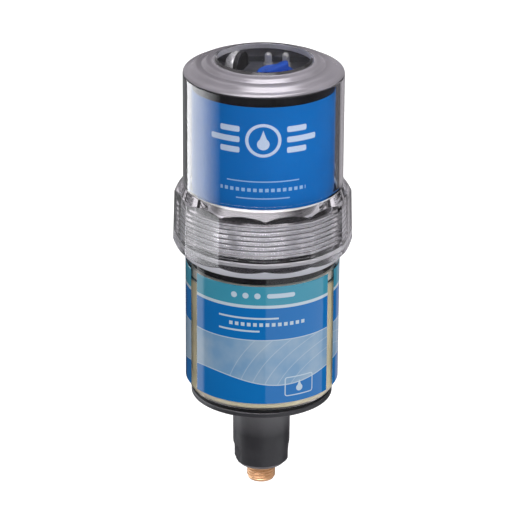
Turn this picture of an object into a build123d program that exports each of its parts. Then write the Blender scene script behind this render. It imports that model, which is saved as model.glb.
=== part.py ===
"""Automatic lubricator: a clear grease canister with a threaded outlet, a motor drive and a clear cover.

Millimetres, +Z up. The origin is the centre of the outlet nipple's lower end. The labels face -Y.
"""
import os
from math import acos, atan, cos, degrees, pi, radians, sin, tan

from build123d import *

# ---------------------------------------------------------------- driving dimensions
# running clearance of a turning or sliding fit, and the gap of parts that only stand near each other
FIT = 0.06
GAP = 0.3
# clearance of parts that are pushed together by hand
PUSH = 0.1

# motor, and four penlight cells standing round it: with their walls they set the lubricator's width
motor_radius = 10.2
gearhead_radius = 10.8
gearhead_length = 18.0
motor_length = 25.0
motor_boss_radius = 3.2
motor_boss_length = 2.0
motor_shaft_radius = 1.5
motor_shaft_reach = 6.0
motor_edge_round = 0.85
terminal_width = 0.5
terminal_length = 2.1
cell_radius = 7.1
cell_length = 49.2
cell_chamfer = 0.45
cell_nub_radius = 2.7
cell_nub_length = 1.3
cell_room = 1.5
cell_count = 4
contact_thick = 0.6
contact_radius = 4.6
contact_width = 2.4
retainer_thick = 2.0
retainer_gap = 0.2

# drive housing
housing_wall = 1.8
housing_rim_chamfer = 0.6
housing_reach = 31.1
flange_lip = 0.1
flange_thick = 1.6
drive_seal_section = 1.4
drive_seal_chamfer = 0.35
drive_seal_rise = 9.0
drive_label_low = 1.2
drive_label_margin = 4.4
ledge_width = 1.7
ledge_height = 1.6

# canister
housing_slip = 0.6
canister_wall = 2.2
canister_floor = 2.2
canister_chamfer = 4.0
canister_foot_inset = 2.15
canister_height = 88.5
neck_wall = 1.8
neck_length = 21.5
spout_radius = 9.0
spout_bore = 4.0
spout_length = 15.3
spout_groove_depth = 1.1
spout_seal_section = 1.2
spout_seal_drop = 5.0

# canister labels
label_thick = 0.15
label_glue = 0.02
label_margin = 3.8
label_half_angle = 57.0
label_gap_angle = 10.0

# outlet nipple, taper thread 1/4
nipple_radius = 6.42
nipple_length = 8.1
nipple_bore = 3.2
insert_radius = 7.6
insert_length = 13.4
insert_groove_depth = 0.7
insert_groove_width = 1.8

# base moulding: a stem with wrench flats under a round foot
stem_radius = 12.35
stem_step = 0.63
stem_chamfer = 1.9
flat_depth = 0.72
flats_angle = 15.6
flats_length = 8.6
stem_length = 34.1
foot_inset = 0.15
foot_thick = 2.3
foot_edge_round = 0.5
rib_count = 12
rib_thick = 1.2
rib_height = 1.6
socket_boss_wall = 3.2
base_seal_inset = 0.75
base_seal_width = 2.6

# piston over the grease
grease_wall_gap = 0.08
piston_height = 5.4
piston_crown = 2.0
piston_wall = 2.0
piston_hub_radius = 8.0
piston_rib_count = 8
piston_rib_thick = 1.4
piston_seal_rise = 0.5
piston_seal_width = 1.0
piston_seal_depth = 1.2

# spindle and its coupling
spindle_radius = 4.0
spindle_tip = 1.0
spindle_tail = 3.0
journal_radius = 5.0
hex_across = 8.0
hex_length = 3.4

# gear train
module = 0.6
pressure_angle = 20.0
pinion_teeth = 12
wheel_teeth = 30
addendum = 0.85
dedendum = 1.15
backlash = 0.10
centre_slack = 0.12
gear_face = 4.2
gear_space = 0.5
idler_angle = 60.0
idler_axle_radius = 1.0
wheel_web = 1.6
wheel_rim = 1.8
hub_wall = 1.6

# floor of the drive and the plate above its gears
floor_thick = 2.4
bush_wall = 2.0
pillar_radius = 2.4
pillar_inset = 4.2
pillar_count = 3
plate_thick = 2.0

# circuit board and control panel
board_thick = 1.6
board_inset = 1.8
board_rise = 3.0
board_post_radius = 1.8
board_room = 5.5
chip_width = 8.7
chip_height = 0.8
chip_place = 8.5
small_chip_width = 2.2
panel_thick = 2.0
panel_drop = 2.0
step_gap = 4.0
step_height = 1.7
screw_inset = 4.4
screw_angles = (-140.0, -40.0, 12.0, 168.0)
screw_head_radius = 2.3
screw_head_height = 1.3
screw_slot_width = 0.6
screw_shank_radius = 1.2
screw_length = 5.0
screw_boss_radius = 2.9
screw_boss_height = 4.0

# selector dial
dial_x = 5.0
dial_back = 3.6
dial_radius = 8.2
dial_thick = 1.3
dial_chamfer = 0.43
dial_stem_radius = 3.0
dial_grip_length = 14.6
dial_grip_width = 3.4
dial_grip_height = 1.8
dial_grip_draft = 12.0
dial_grip_angle = 52.0

# signal lamps, in a row behind the dial
lamp_radius = 1.5
lamp_flange_radius = 1.9
lamp_flange_height = 1.0
lamp_height = 4.8
lamp_lead = 0.5
lamp_lead_pitch = 1.25
lamp_gap = 2.2
lamp_left_x = 1.8
lamp_right_x = 9.0

# domed can with a black end, lying half sunk in the panel; its end is turned towards the front
can_radius = 5.6
can_length = 5.4
can_round = 5.2
can_end_radius = 5.7
can_end_length = 2.2
can_end_round = 0.55
can_end_x = -8.4
can_end_back = 11.5
can_turn = -25.0

# clear cover with its twelve-sided collar
cover_room = 1.55
cover_wall = 2.35
cover_headroom = 0.8
collar_sides = 12
collar_turn = 1.5
collar_depth_low = 4.3
collar_depth_high = 3.65
collar_chamfer_low = 5.1
collar_wall_height = 21.6
collar_chamfer_high = 4.2
collar_below_mouth = 27.2
thread_room = 0.25
cover_seal_thick = 1.0
cover_seal_width = 1.5
cover_seal_room = 0.25
cover_edge_round = 0.8
roof_rise = 6.0
roof_wall = 1.6
roof_step_insets = (3.5, 7.7)
roof_step_height = 0.35
window_inset = 12.3
window_thick = 1.8
window_dome = 0.3
skirt_drop = 4.7
skirt_wall = 1.3
skirt_lap = 0.2

# ---------------------------------------------------------------- radii that follow
housing_inner = gearhead_radius + 2 * cell_radius + 2 * cell_room
housing_radius = housing_inner + housing_wall
canister_bore = housing_radius + housing_slip
canister_radius = canister_bore + canister_wall
canister_foot_radius = canister_radius - canister_foot_inset
neck_radius = canister_bore + neck_wall
flange_radius = neck_radius + flange_lip
cell_place = gearhead_radius + cell_room + cell_radius
board_radius = housing_inner - board_inset
screw_place = housing_inner - screw_inset
pillar_place = housing_inner - pillar_inset
stem_low_radius = stem_radius - stem_step
flats_across = 2 * (stem_low_radius - flat_depth)
foot_radius = canister_foot_radius - foot_inset
base_seal_radius = canister_foot_radius - base_seal_inset
pinion_radius = module * pinion_teeth / 2
wheel_radius = module * wheel_teeth / 2
gear_centres = pinion_radius + wheel_radius + centre_slack
idler_x = gear_centres * cos(radians(idler_angle))
idler_y = gear_centres * sin(radians(idler_angle))
cover_inner = housing_radius + cover_room
cover_radius = cover_inner + cover_wall
cover_bore = canister_radius + thread_room
cover_seal_radius = cover_bore - cover_seal_room
collar_corner_low = cover_radius + collar_depth_low
collar_corner_high = cover_radius + collar_depth_high
window_radius = cover_radius - window_inset

# ---------------------------------------------------------------- heights that follow
stem_bottom = nipple_length
insert_top = stem_bottom + insert_length
foot_bottom = stem_bottom + stem_length
foot_top = foot_bottom + foot_thick
canister_bottom = foot_top + rib_height
canister_inside = canister_bottom + canister_floor
canister_mouth = canister_bottom + canister_height
spout_bottom = canister_bottom - spout_length
flange_bottom = canister_mouth
flange_top = flange_bottom + flange_thick
housing_bottom = flange_bottom - housing_reach
piston_top = housing_bottom - 2 * PUSH
piston_bottom = piston_top - piston_height
grease_top = piston_bottom - PUSH
floor_top = housing_bottom + floor_thick
bush_top = floor_top + GAP
low_gears = bush_top + GAP
high_gears = low_gears + gear_face + gear_space
plate_bottom = high_gears + gear_face + 2 * gear_space
plate_top = plate_bottom + plate_thick
cell_bottom = plate_top + contact_thick
cell_top = cell_bottom + cell_length + cell_nub_length
retainer_bottom = cell_top + contact_thick
retainer_top = retainer_bottom + retainer_thick
board_bottom = retainer_top + board_rise
board_top = board_bottom + board_thick
panel_bottom = board_top + board_room
panel_top = panel_bottom + panel_thick
housing_top = panel_top + panel_drop
cover_bottom = canister_mouth - collar_below_mouth
seal_bottom = flange_top
seal_top = seal_bottom + cover_seal_thick
cover_shoulder = seal_top + PUSH
eave = housing_top + cover_headroom
window_top = eave + roof_rise

os.makedirs("parts", exist_ok=True)


def save(solid, name):
    """Label a finished piece and write it as one STEP file."""
    solid.label = name
    export_step(solid, f"parts/{name}.step")


def gear_outline(teeth, angle):
    """Corners of a toothed wheel with involute flanks, its first tooth turned to angle (degrees)."""
    pitch_radius = module * teeth / 2
    base_radius = pitch_radius * cos(radians(pressure_angle))
    root_radius = pitch_radius - dedendum * module
    tip_radius = pitch_radius + addendum * module
    pitch_roll = acos(base_radius / pitch_radius)
    half_tooth = (pi * module / 2 - backlash) / 2 / pitch_radius
    flank = []
    for share in (0.0, 0.5, 1.0):
        radius = root_radius + share * (tip_radius - root_radius)
        roll = acos(min(1.0, base_radius / max(radius, base_radius)))
        spread = half_tooth + (tan(pitch_roll) - pitch_roll) - (tan(roll) - roll)
        flank.append((radius, spread))
    corners = []
    for tooth in range(teeth):
        middle = radians(angle) + 2 * pi * tooth / teeth
        for radius, spread in flank:
            corners.append((radius * cos(middle - spread), radius * sin(middle - spread)))
        for radius, spread in reversed(flank):
            corners.append((radius * cos(middle + spread), radius * sin(middle + spread)))
    return corners


# ---------------------------------------------------------------- outlet
# Brass nipple: the thread's outside below, a grooved insert that the stem is moulded round above.
with BuildPart() as outlet_nipple:
    with BuildSketch() as thread_section:
        Circle(nipple_radius)
    extrude(amount=nipple_length)
    with BuildSketch(Plane.XY.offset(stem_bottom)) as insert_section:
        Circle(insert_radius)
    extrude(amount=insert_length)
    with BuildSketch(Plane.XY.offset(stem_bottom + insert_groove_width)) as lower_groove:
        Circle(insert_radius)
        Circle(insert_radius - insert_groove_depth, mode=Mode.SUBTRACT)
    extrude(amount=insert_groove_width, mode=Mode.SUBTRACT)
    with BuildSketch(Plane.XY.offset(insert_top - 2 * insert_groove_width)) as upper_groove:
        Circle(insert_radius)
        Circle(insert_radius - insert_groove_depth, mode=Mode.SUBTRACT)
    extrude(amount=insert_groove_width, mode=Mode.SUBTRACT)
    with BuildSketch() as bore_section:
        Circle(nipple_bore)
    extrude(amount=insert_top, mode=Mode.SUBTRACT)
save(outlet_nipple.part, "outlet_nipple")

# Base: stem, foot and upstanding ribs in one moulding, with a socket for the canister's spout.
socket_radius = spout_radius + PUSH
with BuildPart() as outlet_base:
    with BuildSketch(Plane.XZ) as base_profile:
        with BuildLine():
            Polyline(
                (0, stem_bottom),
                (stem_low_radius - stem_chamfer, stem_bottom),
                (stem_low_radius, stem_bottom + stem_chamfer),
                (stem_low_radius, stem_bottom + flats_length - (stem_radius - stem_low_radius)),
                (stem_radius, stem_bottom + flats_length),
                (stem_radius, foot_bottom),
                (foot_radius, foot_bottom),
                (foot_radius, foot_top),
                (spout_radius + socket_boss_wall, foot_top),
                (spout_radius + socket_boss_wall, canister_bottom),
                (0, canister_bottom),
                close=True,
            )
        make_face()
    revolve(axis=Axis.Z)
    foot_rims = outlet_base.edges().filter_by(GeomType.CIRCLE).sort_by(SortBy.RADIUS)[-2:]
    fillet(foot_rims, foot_edge_round)
    # stiffening ribs on the foot, which carry the canister's floor
    rib_inner = spout_radius + socket_boss_wall / 2
    rib_outer = base_seal_radius - base_seal_width - PUSH
    with BuildSketch(Plane.XY.offset(foot_top)) as rib_section:
        with PolarLocations((rib_inner + rib_outer) / 2, rib_count):
            Rectangle(rib_outer - rib_inner, rib_thick)
    extrude(amount=rib_height)
    # wrench flats: what lies beyond the two parallel planes is cut from the stem's lower end
    with BuildSketch(Plane.XY.offset(stem_bottom)) as flats_section:
        Circle(stem_radius + 1)
        Rectangle(flats_across, 3 * stem_radius, rotation=flats_angle, mode=Mode.SUBTRACT)
    extrude(amount=flats_length - (stem_radius - flats_across / 2) / 2, mode=Mode.SUBTRACT)
    # socket for the spout, grease passage, seat of the brass insert
    with BuildSketch(Plane.XY.offset(spout_bottom)) as socket_section:
        Circle(socket_radius)
    extrude(amount=canister_bottom - spout_bottom, mode=Mode.SUBTRACT)
    with BuildSketch(Plane.XY.offset(insert_top)) as passage_section:
        Circle(nipple_bore)
    extrude(amount=spout_bottom - insert_top, mode=Mode.SUBTRACT)
    with BuildSketch(Plane.XY.offset(stem_bottom)) as insert_seat:
        Circle(insert_radius)
    extrude(amount=insert_length, mode=Mode.SUBTRACT)
save(outlet_base.part, "outlet_base")

with BuildPart() as base_seal:
    with BuildSketch(Plane.XY.offset(foot_top)):
        Circle(base_seal_radius)
        Circle(base_seal_radius - base_seal_width, mode=Mode.SUBTRACT)
    extrude(amount=rib_height)
save(base_seal.part, "base_seal")

# ---------------------------------------------------------------- canister
inner_chamfer = canister_bore - (canister_foot_radius - canister_floor)
with BuildPart() as canister:
    with BuildSketch(Plane.XZ) as canister_profile:
        with BuildLine():
            Polyline(
                (spout_bore, spout_bottom),
                (spout_radius, spout_bottom),
                (spout_radius, canister_bottom),
                (canister_foot_radius, canister_bottom),
                (canister_radius, canister_bottom + canister_chamfer),
                (canister_radius, canister_mouth - neck_length),
                (neck_radius, canister_mouth - neck_length + canister_radius - neck_radius),
                (neck_radius, canister_mouth),
                (canister_bore, canister_mouth),
                (canister_bore, canister_inside + inner_chamfer),
                (canister_bore - inner_chamfer, canister_inside),
                (spout_bore, canister_inside),
                close=True,
            )
        make_face()
    revolve(axis=Axis.Z)
    # groove of the spout's seal
    spout_seal_middle = canister_bottom - spout_seal_drop
    with BuildSketch(Plane.XY.offset(spout_seal_middle - spout_seal_section)):
        Circle(spout_radius + 1)
        Circle(spout_radius - spout_groove_depth, mode=Mode.SUBTRACT)
    extrude(amount=2 * spout_seal_section, mode=Mode.SUBTRACT)
save(canister.part, "canister")

spout_seal_inner = spout_radius - spout_groove_depth
spout_seal_half = (socket_radius - spout_seal_inner) / 2
with BuildPart() as spout_seal:
    with BuildSketch(Plane.XZ):
        with Locations((spout_seal_inner + spout_seal_half, spout_seal_middle)):
            Circle(spout_seal_half)
    revolve(axis=Axis.Z)
save(spout_seal.part, "spout_seal")


def radial_plane(angle):
    """Upright plane through the axis: its x runs outwards at angle (degrees), its y runs up."""
    turn = radians(angle)
    return Plane(origin=(0, 0, 0), x_dir=(cos(turn), sin(turn), 0), z_dir=(sin(turn), -cos(turn), 0))


front_start = -90 - label_half_angle
front_arc = 2 * label_half_angle
back_start = front_start + front_arc + label_gap_angle
back_arc = 360 - front_arc - 2 * label_gap_angle
label_bottom = canister_bottom + canister_chamfer
label_height = cover_bottom - label_margin - label_bottom
label_place = (canister_radius + label_glue + label_thick / 2, label_bottom + label_height / 2)
with BuildPart() as canister_label_front:
    with BuildSketch(radial_plane(front_start)):
        with Locations(label_place):
            Rectangle(label_thick, label_height)
    revolve(axis=Axis.Z, revolution_arc=front_arc)
save(canister_label_front.part, "canister_label_front")

with BuildPart() as canister_label_back:
    with BuildSketch(radial_plane(back_start)):
        with Locations(label_place):
            Rectangle(label_thick, label_height)
    revolve(axis=Axis.Z, revolution_arc=back_arc)
save(canister_label_back.part, "canister_label_back")

# ---------------------------------------------------------------- grease, piston and spindle
grease_radius = canister_bore - grease_wall_gap
grease_hole = spindle_radius + GAP
with BuildPart() as grease:
    with BuildSketch(Plane.XZ):
        with BuildLine():
            Polyline(
                (grease_hole, canister_inside),
                (grease_radius - inner_chamfer, canister_inside),
                (grease_radius, canister_inside + inner_chamfer),
                (grease_radius, grease_top),
                (grease_hole, grease_top),
                close=True,
            )
        make_face()
    revolve(axis=Axis.Z)
save(grease.part, "grease")

# Piston: crown, skirt, ribs and a hub that is the spindle's nut.
piston_radius = canister_bore - 2 * FIT
piston_groove_low = piston_bottom + piston_seal_rise
with BuildPart() as piston:
    with BuildSketch(Plane.XY.offset(piston_bottom)):
        Circle(piston_radius)
    extrude(amount=piston_height)
    with BuildSketch(Plane.XY.offset(piston_bottom + piston_crown)) as pocket_section:
        Circle(piston_radius - piston_wall)
        Circle(piston_hub_radius, mode=Mode.SUBTRACT)
        with PolarLocations((piston_hub_radius + piston_radius) / 2, piston_rib_count):
            Rectangle(piston_radius, piston_rib_thick, mode=Mode.SUBTRACT)
    extrude(amount=piston_height - piston_crown, mode=Mode.SUBTRACT)
    with BuildSketch(Plane.XY.offset(piston_groove_low)):
        Circle(piston_radius + 1)
        Circle(piston_radius - piston_seal_depth, mode=Mode.SUBTRACT)
    extrude(amount=piston_seal_width, mode=Mode.SUBTRACT)
    with BuildSketch(Plane.XY.offset(piston_bottom)):
        Circle(spindle_radius + FIT)
    extrude(amount=piston_height, mode=Mode.SUBTRACT)
save(piston.part, "piston")

with BuildPart() as piston_seal:
    with BuildSketch(Plane.XY.offset(piston_groove_low)):
        Circle(canister_bore - FIT)
        Circle(piston_radius - piston_seal_depth, mode=Mode.SUBTRACT)
    extrude(amount=piston_seal_width)
save(piston_seal.part, "piston_seal")

# Spindle: lead screw, bearing journal and hexagon head, in one.
spindle_bottom = canister_inside + spindle_tail
hex_bottom = bush_top
hex_top = hex_bottom + hex_length
with BuildPart() as spindle:
    with BuildSketch(Plane.XY.offset(spindle_bottom)):
        Circle(spindle_radius)
    extrude(amount=housing_bottom - spindle_bottom)
    chamfer(spindle.faces().sort_by(Axis.Z)[0].edges(), spindle_tip)
    with BuildSketch(Plane.XY.offset(housing_bottom)):
        Circle(journal_radius)
    extrude(amount=bush_top - housing_bottom)
    with BuildSketch(Plane.XY.offset(hex_bottom)):
        RegularPolygon(hex_across / 2, 6, major_radius=False)
    extrude(amount=hex_length)
save(spindle.part, "spindle")

# ---------------------------------------------------------------- gear train
idler_plane = Plane(origin=(idler_x, idler_y, 0))
idler_turn = idler_angle + 180
hub_radius = hex_across / 2 / cos(radians(30)) + hub_wall

# Output wheel on the spindle's head.
with BuildPart() as output_gear:
    with BuildSketch(Plane.XY.offset(low_gears)):
        Polygon(*gear_outline(wheel_teeth, idler_angle), align=None)
    extrude(amount=gear_face)
    with BuildSketch(Plane.XY.offset(low_gears + wheel_web)) as web_recess:
        Circle(wheel_radius - wheel_rim)
        Circle(hub_radius, mode=Mode.SUBTRACT)
    extrude(amount=gear_face - wheel_web, mode=Mode.SUBTRACT)
    with BuildSketch(Plane.XY.offset(low_gears)) as head_socket:
        RegularPolygon(hex_across / 2, 6, major_radius=False)
    extrude(amount=hex_top - low_gears, mode=Mode.SUBTRACT)
save(output_gear.part, "output_gear")

# Idler: a wheel driven by the motor's pinion, over a pinion that drives the output wheel.
half_step = 180 / pinion_teeth
with BuildPart() as idler_gear:
    with BuildSketch(idler_plane.offset(low_gears)):
        Polygon(*gear_outline(pinion_teeth, idler_turn + half_step), align=None)
    extrude(amount=gear_face + gear_space)
    with BuildSketch(idler_plane.offset(high_gears)):
        Polygon(*gear_outline(wheel_teeth, idler_turn), align=None)
    extrude(amount=gear_face)
    with BuildSketch(idler_plane.offset(high_gears + wheel_web)):
        Circle(wheel_radius - wheel_rim)
        Circle(pinion_radius, mode=Mode.SUBTRACT)
    extrude(amount=gear_face - wheel_web, mode=Mode.SUBTRACT)
    with BuildSketch(idler_plane.offset(low_gears)):
        Circle(idler_axle_radius + FIT)
    extrude(amount=2 * gear_face + gear_space, mode=Mode.SUBTRACT)
save(idler_gear.part, "idler_gear")

with BuildPart() as idler_axle:
    with BuildSketch(idler_plane.offset(floor_top - floor_thick / 2)):
        Circle(idler_axle_radius)
    extrude(amount=plate_bottom + plate_thick / 2 - floor_top + floor_thick / 2)
save(idler_axle.part, "idler_axle")

# Motor pinion with the output shaft of the gearhead, which runs up into the motor.
shaft_top = plate_top + motor_shaft_reach
with BuildPart() as motor_pinion:
    with BuildSketch(Plane.XY.offset(high_gears)):
        Polygon(*gear_outline(pinion_teeth, idler_angle + half_step), align=None)
    extrude(amount=gear_face)
    with BuildSketch(Plane.XY.offset(high_gears + gear_face)):
        Circle(motor_shaft_radius)
    extrude(amount=shaft_top - high_gears - gear_face)
save(motor_pinion.part, "motor_pinion")

# ---------------------------------------------------------------- drive housing
seal_groove_middle = housing_bottom + drive_seal_rise
seal_groove_radius = housing_radius - drive_seal_section / 2
with BuildPart() as drive_housing:
    with BuildSketch(Plane.XZ) as housing_profile:
        with BuildLine():
            Polyline(
                (housing_inner, housing_bottom),
                (housing_radius, housing_bottom),
                (housing_radius, seal_groove_middle - drive_seal_section),
                (seal_groove_radius, seal_groove_middle - drive_seal_section),
                (seal_groove_radius, seal_groove_middle + drive_seal_section),
                (housing_radius, seal_groove_middle + drive_seal_section),
                (housing_radius, flange_bottom),
                (flange_radius, flange_bottom),
                (flange_radius, flange_top),
                (housing_radius, flange_top),
                (housing_radius, housing_top - housing_rim_chamfer),
                (housing_radius - housing_rim_chamfer, housing_top),
                (housing_inner, housing_top),
                (housing_inner, panel_bottom),
                (housing_inner - ledge_width, panel_bottom),
                (housing_inner - ledge_width, panel_bottom - ledge_height),
                (housing_inner, panel_bottom - ledge_height - ledge_width),
                close=True,
            )
        make_face()
    revolve(axis=Axis.Z)
    # bosses that take the panel's screws
    with BuildSketch(Plane.XY.offset(panel_bottom - screw_boss_height)) as boss_section:
        for angle in screw_angles:
            with PolarLocations(screw_place, 1, start_angle=angle):
                Circle(screw_boss_radius)
            with PolarLocations((screw_place + housing_inner) / 2, 1, start_angle=angle):
                Rectangle(housing_inner - screw_place, 2 * screw_boss_radius)
    extrude(amount=screw_boss_height)
    with BuildSketch(Plane.XY.offset(panel_bottom - screw_boss_height)):
        for angle in screw_angles:
            with PolarLocations(screw_place, 1, start_angle=angle):
                Circle(screw_shank_radius)
    extrude(amount=screw_boss_height, mode=Mode.SUBTRACT)
save(drive_housing.part, "drive_housing")

with BuildPart() as drive_seal:
    with BuildSketch(Plane.XY.offset(seal_groove_middle - drive_seal_section)):
        Circle(canister_bore - FIT)
        Circle(seal_groove_radius, mode=Mode.SUBTRACT)
    extrude(amount=2 * drive_seal_section)
    outer_rims = drive_seal.edges().filter_by(GeomType.CIRCLE).sort_by(SortBy.RADIUS)[-2:]
    chamfer(outer_rims, drive_seal_chamfer)
save(drive_seal.part, "drive_seal")

with BuildPart() as drive_label:
    with BuildSketch(Plane.XY.offset(flange_top + drive_label_low)):
        Circle(housing_radius + label_glue + label_thick)
        Circle(housing_radius + label_glue, mode=Mode.SUBTRACT)
    extrude(amount=housing_top - drive_label_margin - flange_top - drive_label_low)
save(drive_label.part, "drive_label")

# Floor of the drive: closes the housing, holds the spindle's bush and carries the plate on pillars.
bush_radius = journal_radius + FIT + bush_wall
with BuildPart() as drive_floor:
    with BuildSketch(Plane.XY.offset(housing_bottom)):
        Circle(housing_inner - FIT)
    extrude(amount=floor_thick)
    with BuildSketch(Plane.XY.offset(floor_top)):
        with PolarLocations(pillar_place, pillar_count):
            Circle(pillar_radius)
    extrude(amount=plate_bottom - floor_top)
    with BuildSketch(Plane.XY.offset(housing_bottom)):
        Circle(bush_radius)
    extrude(amount=floor_thick, mode=Mode.SUBTRACT)
    with BuildSketch(idler_plane.offset(floor_top - floor_thick / 2)):
        Circle(idler_axle_radius)
    extrude(amount=floor_thick / 2, mode=Mode.SUBTRACT)
save(drive_floor.part, "drive_floor")

with BuildPart() as spindle_bush:
    with BuildSketch(Plane.XY.offset(housing_bottom)):
        Circle(bush_radius)
        Circle(journal_radius + FIT, mode=Mode.SUBTRACT)
    extrude(amount=bush_top - housing_bottom)
save(spindle_bush.part, "spindle_bush")

# Plate above the gears, which carries the motor and the cells.
with BuildPart() as gear_plate:
    with BuildSketch(Plane.XY.offset(plate_bottom)):
        Circle(housing_inner - FIT)
        Circle(2 * motor_shaft_radius, mode=Mode.SUBTRACT)
    extrude(amount=plate_thick)
    with BuildSketch(idler_plane.offset(plate_bottom)):
        Circle(idler_axle_radius)
    extrude(amount=plate_thick / 2, mode=Mode.SUBTRACT)
save(gear_plate.part, "gear_plate")

# ---------------------------------------------------------------- motor and cells
gearhead_top = plate_top + gearhead_length
motor_top = gearhead_top + motor_length
with BuildPart() as motor:
    with BuildSketch(Plane.XY.offset(plate_top)):
        Circle(gearhead_radius)
    extrude(amount=gearhead_length)
    with BuildSketch(Plane.XY.offset(gearhead_top)):
        Circle(motor_radius)
    extrude(amount=motor_length)
    fillet(motor.edges().filter_by(GeomType.CIRCLE).sort_by(Axis.Z)[-1], motor_edge_round)
    with BuildSketch(Plane.XY.offset(motor_top)):
        Circle(motor_boss_radius)
        with PolarLocations(2 * motor_boss_radius, 2):
            Rectangle(terminal_width, terminal_length)
    extrude(amount=motor_boss_length)
    with BuildSketch(Plane.XY.offset(plate_top)):
        Circle(motor_shaft_radius + FIT)
    extrude(amount=shaft_top + GAP - plate_top, mode=Mode.SUBTRACT)
save(motor.part, "motor")

cell_planes = [
    Plane(origin=(location.position.X, location.position.Y, 0))
    for location in PolarLocations(cell_place, cell_count, start_angle=180 / cell_count)
]
for number, cell_plane in enumerate(cell_planes, start=1):
    with BuildPart() as battery:
        with BuildSketch(cell_plane.offset(cell_bottom)):
            Circle(cell_radius)
        extrude(amount=cell_length)
        chamfer(battery.edges().filter_by(GeomType.CIRCLE), cell_chamfer)
        with BuildSketch(cell_plane.offset(cell_bottom + cell_length)):
            Circle(cell_nub_radius)
        extrude(amount=cell_nub_length)
    save(battery.part, f"battery_{number}")

# Contact springs under the cells and strips above them, in two groups.
with BuildPart() as contact_springs:
    for cell_plane in cell_planes:
        with BuildSketch(cell_plane.offset(plate_top)):
            Circle(contact_radius)
            Circle(contact_radius - contact_width, mode=Mode.SUBTRACT)
        extrude(amount=contact_thick)
save(contact_springs.part, "contact_springs")

with BuildPart() as contact_strips:
    with BuildSketch(Plane.XY.offset(cell_top)):
        for side in (-1, 1):
            with Locations((side * cell_place * cos(pi / cell_count), 0)):
                Rectangle(contact_radius, 2 * cell_place * sin(pi / cell_count) + contact_radius)
    extrude(amount=contact_thick)
save(contact_strips.part, "contact_strips")

# Retainer over the cells, with the posts of the circuit board.
with BuildPart() as cell_retainer:
    with BuildSketch(Plane.XY.offset(retainer_bottom)):
        Circle(housing_inner - retainer_gap)
        Circle(motor_boss_radius, mode=Mode.SUBTRACT)
    extrude(amount=retainer_thick)
    with BuildSketch(Plane.XY.offset(retainer_top)):
        with PolarLocations(board_radius - 2 * board_post_radius, cell_count):
            Circle(board_post_radius)
    extrude(amount=board_rise)
save(cell_retainer.part, "cell_retainer")

with BuildPart() as circuit_board:
    with BuildSketch(Plane.XY.offset(board_bottom)):
        Circle(board_radius)
    extrude(amount=board_thick)
    with BuildSketch(Plane.XY.offset(board_top)):
        with Locations((-chip_place, -chip_place)):
            Rectangle(chip_width, chip_width)
        with Locations((chip_place, -chip_place)):
            with GridLocations(chip_width, chip_width / 2, 2, 2):
                Rectangle(small_chip_width, small_chip_width / 2)
    extrude(amount=chip_height)
save(circuit_board.part, "circuit_board")

# ---------------------------------------------------------------- control panel
dial_plane = Plane(origin=(dial_x, dial_back, 0))
lamp_back = dial_back + dial_radius + lamp_gap
lamp_places = [(lamp_left_x, lamp_back), (lamp_right_x, lamp_back)]
step_back = lamp_back + step_gap
panel_radius = housing_inner - FIT
# axis of the lying can, running from its domed end to its black end
can_axis = (cos(radians(can_turn)), sin(radians(can_turn)), 0)
can_whole = can_length + can_end_length
can_plane = Plane(
    origin=(can_end_x - can_whole * can_axis[0], can_end_back - can_whole * can_axis[1], panel_top),
    x_dir=(-can_axis[1], can_axis[0], 0),
    z_dir=can_axis,
)
trough_place = (can_end_x - can_whole / 2 * can_axis[0], can_end_back - can_whole / 2 * can_axis[1])
with BuildPart() as control_panel:
    with BuildSketch(Plane.XY.offset(panel_bottom)):
        Circle(panel_radius)
    extrude(amount=panel_thick)
    # raised step along the back
    with BuildSketch(Plane.XY.offset(panel_top)):
        Circle(panel_radius)
        with Locations((0, step_back - housing_inner)):
            Rectangle(2 * housing_inner, 2 * housing_inner, mode=Mode.SUBTRACT)
    extrude(amount=step_height)
    # openings for the dial's stem, the lamps' leads, the screws and the lying capacitor
    with BuildSketch(Plane.XY.offset(panel_bottom)):
        with Locations((dial_x, dial_back)):
            Circle(dial_stem_radius + FIT)
        with Locations(lamp_places):
            Circle(lamp_radius)
        for angle in screw_angles:
            with PolarLocations(screw_place, 1, start_angle=angle):
                Circle(screw_shank_radius)
        with Locations(trough_place):
            Rectangle(can_whole + 2 * GAP, 2 * can_end_radius + 2 * GAP, rotation=can_turn)
    extrude(amount=panel_thick + step_height, mode=Mode.SUBTRACT)
save(control_panel.part, "control_panel")

screw_planes = [
    Plane(origin=(screw_place * cos(radians(angle)), screw_place * sin(radians(angle)), panel_top))
    for angle in screw_angles
]
with BuildPart() as panel_screws:
    for screw_plane in screw_planes:
        with BuildSketch(screw_plane):
            Circle(screw_head_radius)
        extrude(amount=screw_head_height)
        with BuildSketch(screw_plane):
            Circle(screw_shank_radius)
        extrude(amount=-screw_length)
    for screw_plane in screw_planes:
        with BuildSketch(screw_plane.offset(screw_head_height)):
            Rectangle(2 * screw_head_radius, screw_slot_width)
            Rectangle(screw_slot_width, 2 * screw_head_radius)
        extrude(amount=-screw_head_height / 2, mode=Mode.SUBTRACT)
save(panel_screws.part, "panel_screws")

for name, (lamp_x, lamp_y) in zip(("signal_lamp_left", "signal_lamp_right"), lamp_places):
    lamp_plane = Plane(origin=(lamp_x, lamp_y, panel_top))
    with BuildPart() as lamp:
        with BuildSketch(lamp_plane):
            Circle(lamp_flange_radius)
        extrude(amount=lamp_flange_height)
        with BuildSketch(lamp_plane):
            Circle(lamp_radius)
        extrude(amount=lamp_height - lamp_radius)
        with Locations((lamp_x, lamp_y, panel_top + lamp_height - lamp_radius)):
            Sphere(lamp_radius)
        # two leads, down to the board
        with BuildSketch(lamp_plane):
            with GridLocations(lamp_lead_pitch, 0, 2, 1):
                Rectangle(lamp_lead, lamp_lead)
        extrude(amount=board_top - panel_top)
    save(lamp.part, name)

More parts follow.
